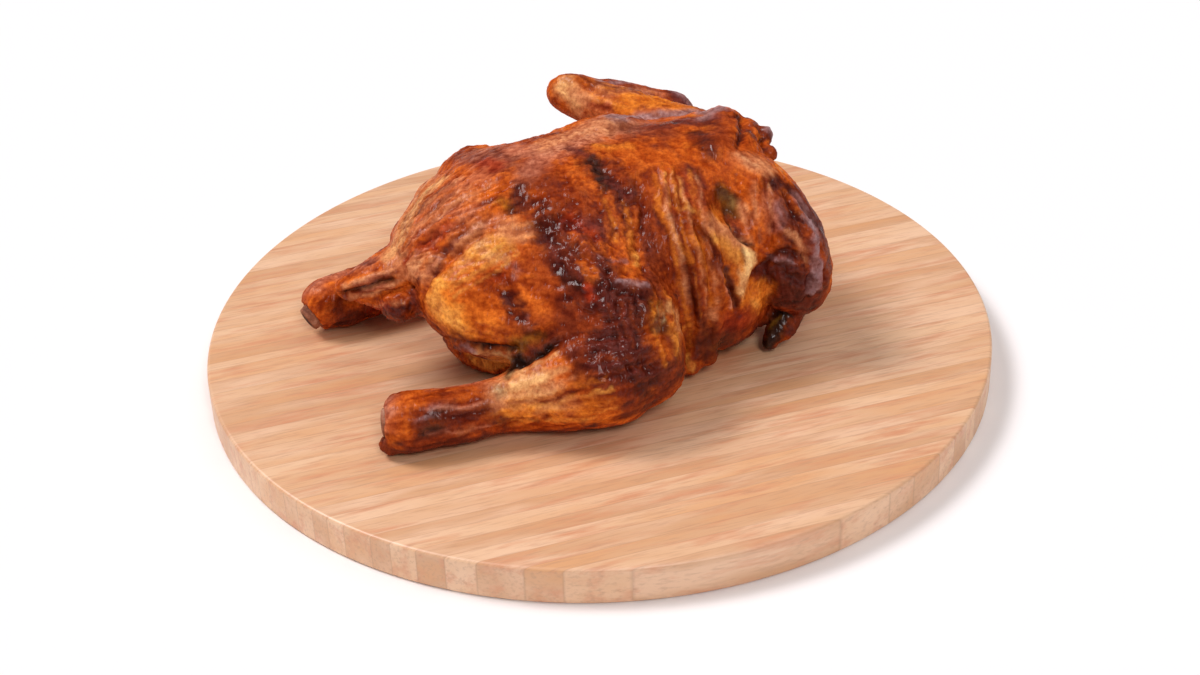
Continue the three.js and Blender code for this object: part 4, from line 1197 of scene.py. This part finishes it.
    "shoulder, orange below": ("orange", 4, 3, 0.6, [(704, 170), (718, 176)]),
    "shoulder, tan": ("tan", 5, 3.5, 0.9, [(738, 160), (752, 163), (764, 168)]),
    "shoulder, pale orange": ("orange", 5, 4, 0.8, [(716, 156), (736, 166), (752, 176)]),
    "neck scraps": ("brown", 5, 3, 0.9, [(758, 124), (772, 136), (776, 152)]),
    # Painted sky reflection on the neck scraps.
    "neck scraps, lilac": ("painted sky reflection", 1.4, 1, 0.7, [(762, 124), (772, 136), (776, 148)]),
    # near wing
    "wing": ("brown", 9, 5, 0.9, [(766, 188), (778, 206), (788, 228)]),
    "wing, orange": ("orange", 7, 4, 0.95, [(748, 184), (756, 214), (760, 246)]),
    "wing, orange below": ("orange", 3, 2.4, 0.7, [(758, 246), (764, 254)]),
    "wing, rosy": ("rose", 2, 2.2, 0.5, [(766, 192), (770, 214), (772, 228)]),
    "wing, tan fleck": ("tan", 1.5, 1.4, 0.6, [(754, 205), (758, 213)]),
    "wing, dark spots": ("maroon", 3, 2.4, 0.85, [(776, 182), (788, 188), (797, 190)]),
    # Painted sky reflection.
    "wing, lilac patch": ("painted sky reflection", 2.4, 3, 0.4, [(778, 208), (781, 222)]),
    # Painted shade in the hollow between the wing's ridges.
    "wing, painted shade in the hollow": ("maroon", 2.5, 2, 0.9, [(790, 217), (799, 228)]),
    # Painted sky reflection on the wing's rim.
    "wing, lilac rim": ("painted sky reflection", 2, 1.8, 0.75, [(796, 196), (806, 212), (816, 240)]),
    "wing, brown edge": ("brown", 3, 2.4, 0.85, [(804, 206), (810, 226)]),
    "wing, tan fold": ("tan", 1.8, 1.5, 0.7, [(788, 232), (799, 242), (806, 258)]),
    "wing, blob": ("maroon", 10, 3, 0.97, [(776, 270), (786, 278), (798, 290)]),
    "wing, blob's upper edge": ("orange", 2.4, 1.8, 0.8, [(760, 240), (768, 246)]),
    "wing, blob's sheen": ("painted sky reflection", 0.9, 0.9, 0.5, [(768, 256), (782, 260), (792, 262)]),
    # Painted shade in the groove over the blob.
    "wing, groove": ("maroon", 1.2, 1.2, 0.9, [(754, 274), (767, 261), (778, 252), (790, 251), (802, 258)]),
    "wing, right end": ("plum", 5, 3, 0.7, [(812, 246), (818, 270), (816, 298)]),
    # Painted sky reflection on the wing's right end.
    "wing, right end, lilac": ("painted sky reflection", 2.4, 2, 0.6, [(812, 240), (818, 262), (814, 290)]),
    "wing, right rim": ("brown", 4.5, 3, 0.9, [(806, 205), (818, 225), (828, 255), (828, 280), (820, 302)]),
    # Painted shadow under the overhanging blob.
    "wing, painted shadow under the blob": ("maroon", 4, 3, 0.9, [(776, 300), (796, 304), (812, 302)]),
    "wing tip": ("char", 4.4, 2.4, 0.97, [(768, 346), (774, 330), (782, 312)]),
    "wing tip, olive": ("olive", 0.8, 0.7, 0.6, [(768, 330), (778, 318)]),
    "wing thumb": ("brown", 4.5, 2.4, 0.95, [(790, 340), (800, 322), (806, 308)]),
    # far wing
    "far wing": ("gold", 12, 6, 0.85, [(600, 98), (640, 102), (676, 106)]),
    "far wing, pale middle": ("tan", 4.5, 3, 0.85, [(580, 96), (604, 106)]),
    "far wing, rosy": ("rose", 4, 3, 0.7, [(600, 88), (640, 92), (656, 96)]),
    "far wing, end": ("orange", 10, 5, 0.9, [(554, 94), (574, 92)]),
    "far wing, cream": ("cream", 5, 4, 0.75, [(562, 84), (570, 92), (576, 104)]),
    "far wing, orange end": ("orange", 3.5, 3, 0.7, [(549, 88), (552, 102), (566, 112)]),
    "far wing, upper end": ("rust", 3, 2.4, 0.7, [(566, 74), (584, 74)]),
    # Painted shade in the notch.
    "far wing, painted shade in the notch": ("brown", 1.6, 1.4, 0.9, [(582, 78), (592, 84), (602, 85)]),
    # Painted sky reflection on the far wing's rim.
    "far wing, lilac rim": ("painted sky reflection", 2.2, 1.8, 0.8, [(600, 82), (640, 84), (664, 90)]),
    "far wing, plum end": ("plum", 5, 2.5, 0.95, [(652, 86), (670, 92), (686, 102)]),
    # Painted sky reflection on the far wing's end.
    "far wing, lilac end": ("painted sky reflection", 2.4, 2, 0.6, [(662, 88), (676, 94), (688, 102)]),
    "far wing, dark streak": ("brown", 3, 2.4, 0.8, [(606, 88), (630, 90)]),
    "far wing, red spots": ("red", 2.6, 2.2, 0.75, [(592, 106), (608, 106)]),
    "far wing, golden": ("gold", 2.6, 2.4, 0.7, [(632, 106), (654, 108)]),
    # tail, vent flap and far leg
    "tail": ("rust", 7, 3, 0.9, [(356, 298), (382, 294), (408, 290)]),
    "tail, orange": ("orange", 3, 2.5, 0.8, [(362, 301), (384, 298), (404, 288)]),
    "tail, root": ("orange", 4, 3, 0.85, [(388, 290), (412, 286)]),
    "tail, rosy slit": ("rose", 2.4, 2, 0.6, [(366, 288), (386, 286)]),
    "tail, pale upper edge": ("tan", 1.5, 1.3, 0.9, [(346, 287), (356, 282), (372, 277), (392, 273)]),
    # Painted shade inside the slit.
    "tail, slit": ("char", 1.0, 0.8, 0.97, [(340, 295), (350, 291), (364, 288), (380, 284), (392, 280)]),
    "tail, lower lip": ("tan", 0.9, 0.8, 0.85, [(351, 297), (372, 292), (391, 285)]),
    "tail, upper lip": ("rose", 1.2, 1.2, 0.7, [(356, 285), (372, 280), (388, 277)]),
    "tail, sheen in the slit": ("painted sky reflection", 0.45, 0.5, 0.6, [(355, 290), (366, 287), (376, 284)]),
    "tail, red underside": ("red", 2.4, 2, 0.7, [(372, 308), (386, 306)]),
    "tail, dark lump": ("maroon", 2, 2, 0.85, [(384, 312), (394, 311), (404, 307)]),
    "tail, purple root": ("plum", 2.4, 2, 0.8, [(415, 294), (418, 312)]),
    "far leg": ("orange", 14, 6, 0.9, [(312, 298), (340, 284), (370, 270)]),
    "far leg, upper": ("rose", 5, 4, 0.8, [(308, 292), (322, 279), (345, 269), (366, 263)]),
    "far leg, rust behind the tail": ("rust", 2.4, 2.4, 0.75, [(354, 273), (374, 269)]),
    "far leg, orange tip": ("orange", 5, 4, 0.8, [(308, 304), (320, 308)]),
    "far leg, orange": ("orange", 3, 3, 0.7, [(328, 288), (342, 280)]),
    "far leg, plum top": ("plum", 1.6, 1.6, 0.7, [(362, 262), (374, 261)]),
    # Painted shade on the far leg under the tail.
    "far leg, painted shade under the tail": ("brown", 6, 4, 0.95, [(336, 306), (344, 318), (358, 316)]),
    "far leg, dark painted shade under the tail": ("maroon", 3, 3, 0.7, [(350, 322), (368, 314)]),
    # Painted sky reflection along the far leg's rim.
    "far leg, pale rim": ("painted sky reflection", 0.8, 0.8, 0.8, [(305, 307), (313, 318), (321, 328)]),
    "flap": ("straw", 5, 2.5, 0.95, [(476, 358), (490, 361), (504, 361)]),
    "flap, top": ("cream", 2.2, 1.8, 0.6, [(478, 351), (492, 353), (506, 356)]),
    "flap, middle": ("straw", 2.2, 1.8, 0.95, [(474, 360), (490, 364), (506, 364)]),
    "flap, shadow": ("char", 0.9, 0.9, 0.95, [(446, 339), (458, 343), (478, 345), (498, 348), (512, 349)]),
    "flap, brown end": ("rust", 2.2, 2, 0.9, [(456, 353), (462, 359)]),
    # Painted sky reflection on the flap's rim.
    "flap, lilac rim": ("painted sky reflection", 0.8, 0.8, 0.8, [(456, 347), (468, 348), (476, 349)]),
    "flap, shaded end": ("brown", 2.0, 2, 0.8, [(518, 362), (534, 354)]),
}
# The skin between the strokes is golden, and browner where it is more done: the tone, its start and its full.
BASE_BROWNING = [("orange", -1.6, -0.7), ("rust", -0.4, 0.5), ("brown", 0.5, 1.2), ("maroon", 1.1, 1.8)]
# How much each pattern adds to how done the skin is, to a stroke's ragged edge, and to how bright a tone is;
# the shaded relief's share is painted shade in hollows and creases and painted light on ridges.
# Each millimetre below the middle height moves the skin's base tone DARKER_LOWER further towards the darker
# tones.
DONE = {"blotches": 0.35, "swellings": 1.6, "grain": 0.4}
DARKER_LOWER = 0.004
MIDDLE_HEIGHT = 50
RAGGED = {"grain": 0.3, "blotches": 0.25, "grit": 0.15}
TONE_AND_RELIEF_SHADE = {"grain": 0.22, "fine grain": 0.26, "grit": 0.14, "blotches": 0.1, "shaded_relief": 0.35}
# Green and blue brighten more than red. Pale skin varies less than dark skin.
BRIGHT_BY_COLOUR = np.array([0.7, 1.15, 1.3])
BRIGHT_LEAST = -1.2
BRIGHT_MOST = 0.5
PALENESS = [0.3, 0.6, 0.1]
# The bottom of the crevice above the drumstick, out of the camera's sight, in the bird's own frame, and the
# painted
# shade laid round it: char, full out to CREVICE_SHADE_FULL millimetres and gone at CREVICE_SHADE_REACH.
SHADED_CREVICE = np.array([(-64, -65.5, 24.5), (-61, -66.5, 27), (-58.5, -66.5, 31), (-55.5, -67.5, 34)])
CREVICE_SHADE_FULL = 2.0
CREVICE_SHADE_REACH = 4.5
CREVICE_SHADE_STRENGTH = 0.9

patterns = {
    "grain": grain, "fine grain": fine_grain, "grit": grit,
    "blotches": blotches, "swellings": lumps, "shaded_relief": shaded_relief,
}


def added(shares):
    """The skin's patterns, each times its share, added up."""
    return sum(share * patterns[name] for name, share in shares.items())


def painted_over(skin, name, cover):
    """The skin's colours, turned into a tone as far as the cover says."""
    return skin + (np.array(TONES[name]) - skin) * cover[:, None]


done = added(DONE) - DARKER_LOWER * (z - MIDDLE_HEIGHT)
ragged = added(RAGGED)
skin = np.repeat(np.array(TONES["gold"])[None], len(places), axis=0)
for name, start, full in BASE_BROWNING:
    skin = painted_over(skin, name, rise(done, start, full))
# Wide strokes first, so that the fine ones lie on top of them.
for name, half_width, softness, strength, pixels in sorted(BROWNING_AND_PAINTED_LIGHT.values(), key=lambda stroke: -stroke[1]):
    far = distance_to(line_on_skin(pixels), wandering, half_width + softness * 3)
    edge = rise(far + softness * ragged, half_width - softness, half_width + softness)
    skin = painted_over(skin, name, strength * (1 - edge))
for name, cover in streaked:
    skin = painted_over(skin, name, cover)
# Painted shade: char laid round the bottom of the crevice.
from_crevice_shade = distance_to(SHADED_CREVICE, places, CREVICE_SHADE_REACH)
skin = painted_over(skin, "char", CREVICE_SHADE_STRENGTH * (1 - rise(from_crevice_shade, CREVICE_SHADE_FULL, CREVICE_SHADE_REACH)))
# The patterns' tones, with the shaded relief painted in: painted shade in hollows and creases, painted light
# on ridges.
bright = added(TONE_AND_RELIEF_SHADE) * (1 - 0.5 * rise(skin @ PALENESS, 0.1, 0.35))
skin = skin * np.exp(np.clip(bright, BRIGHT_LEAST, BRIGHT_MOST)[:, None] * BRIGHT_BY_COLOUR)
# The glaze lies thickest on dark skin, and char has hardly any.
pale = skin @ PALENESS
glaze = (0.2 + 0.32 * (1 - rise(pale, 0.02, 0.12))) * (0.3 + 0.7 * rise(pale, 0.008, 0.016))
browning_and_painted_light = mesh.attributes.new("browning_and_painted_light", "FLOAT_COLOR", "POINT")
browning_and_painted_light.data.foreach_set("color", np.concatenate([skin, glaze[:, None]], axis=1).ravel())

thin = bird.modifiers.new("thin", "DECIMATE")
thin.ratio = SKIN_TRIANGLES / (2 * len(mesh.polygons))
settle(bird)
bird.data.shade_smooth()
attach(bird, "root")
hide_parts("chicken")
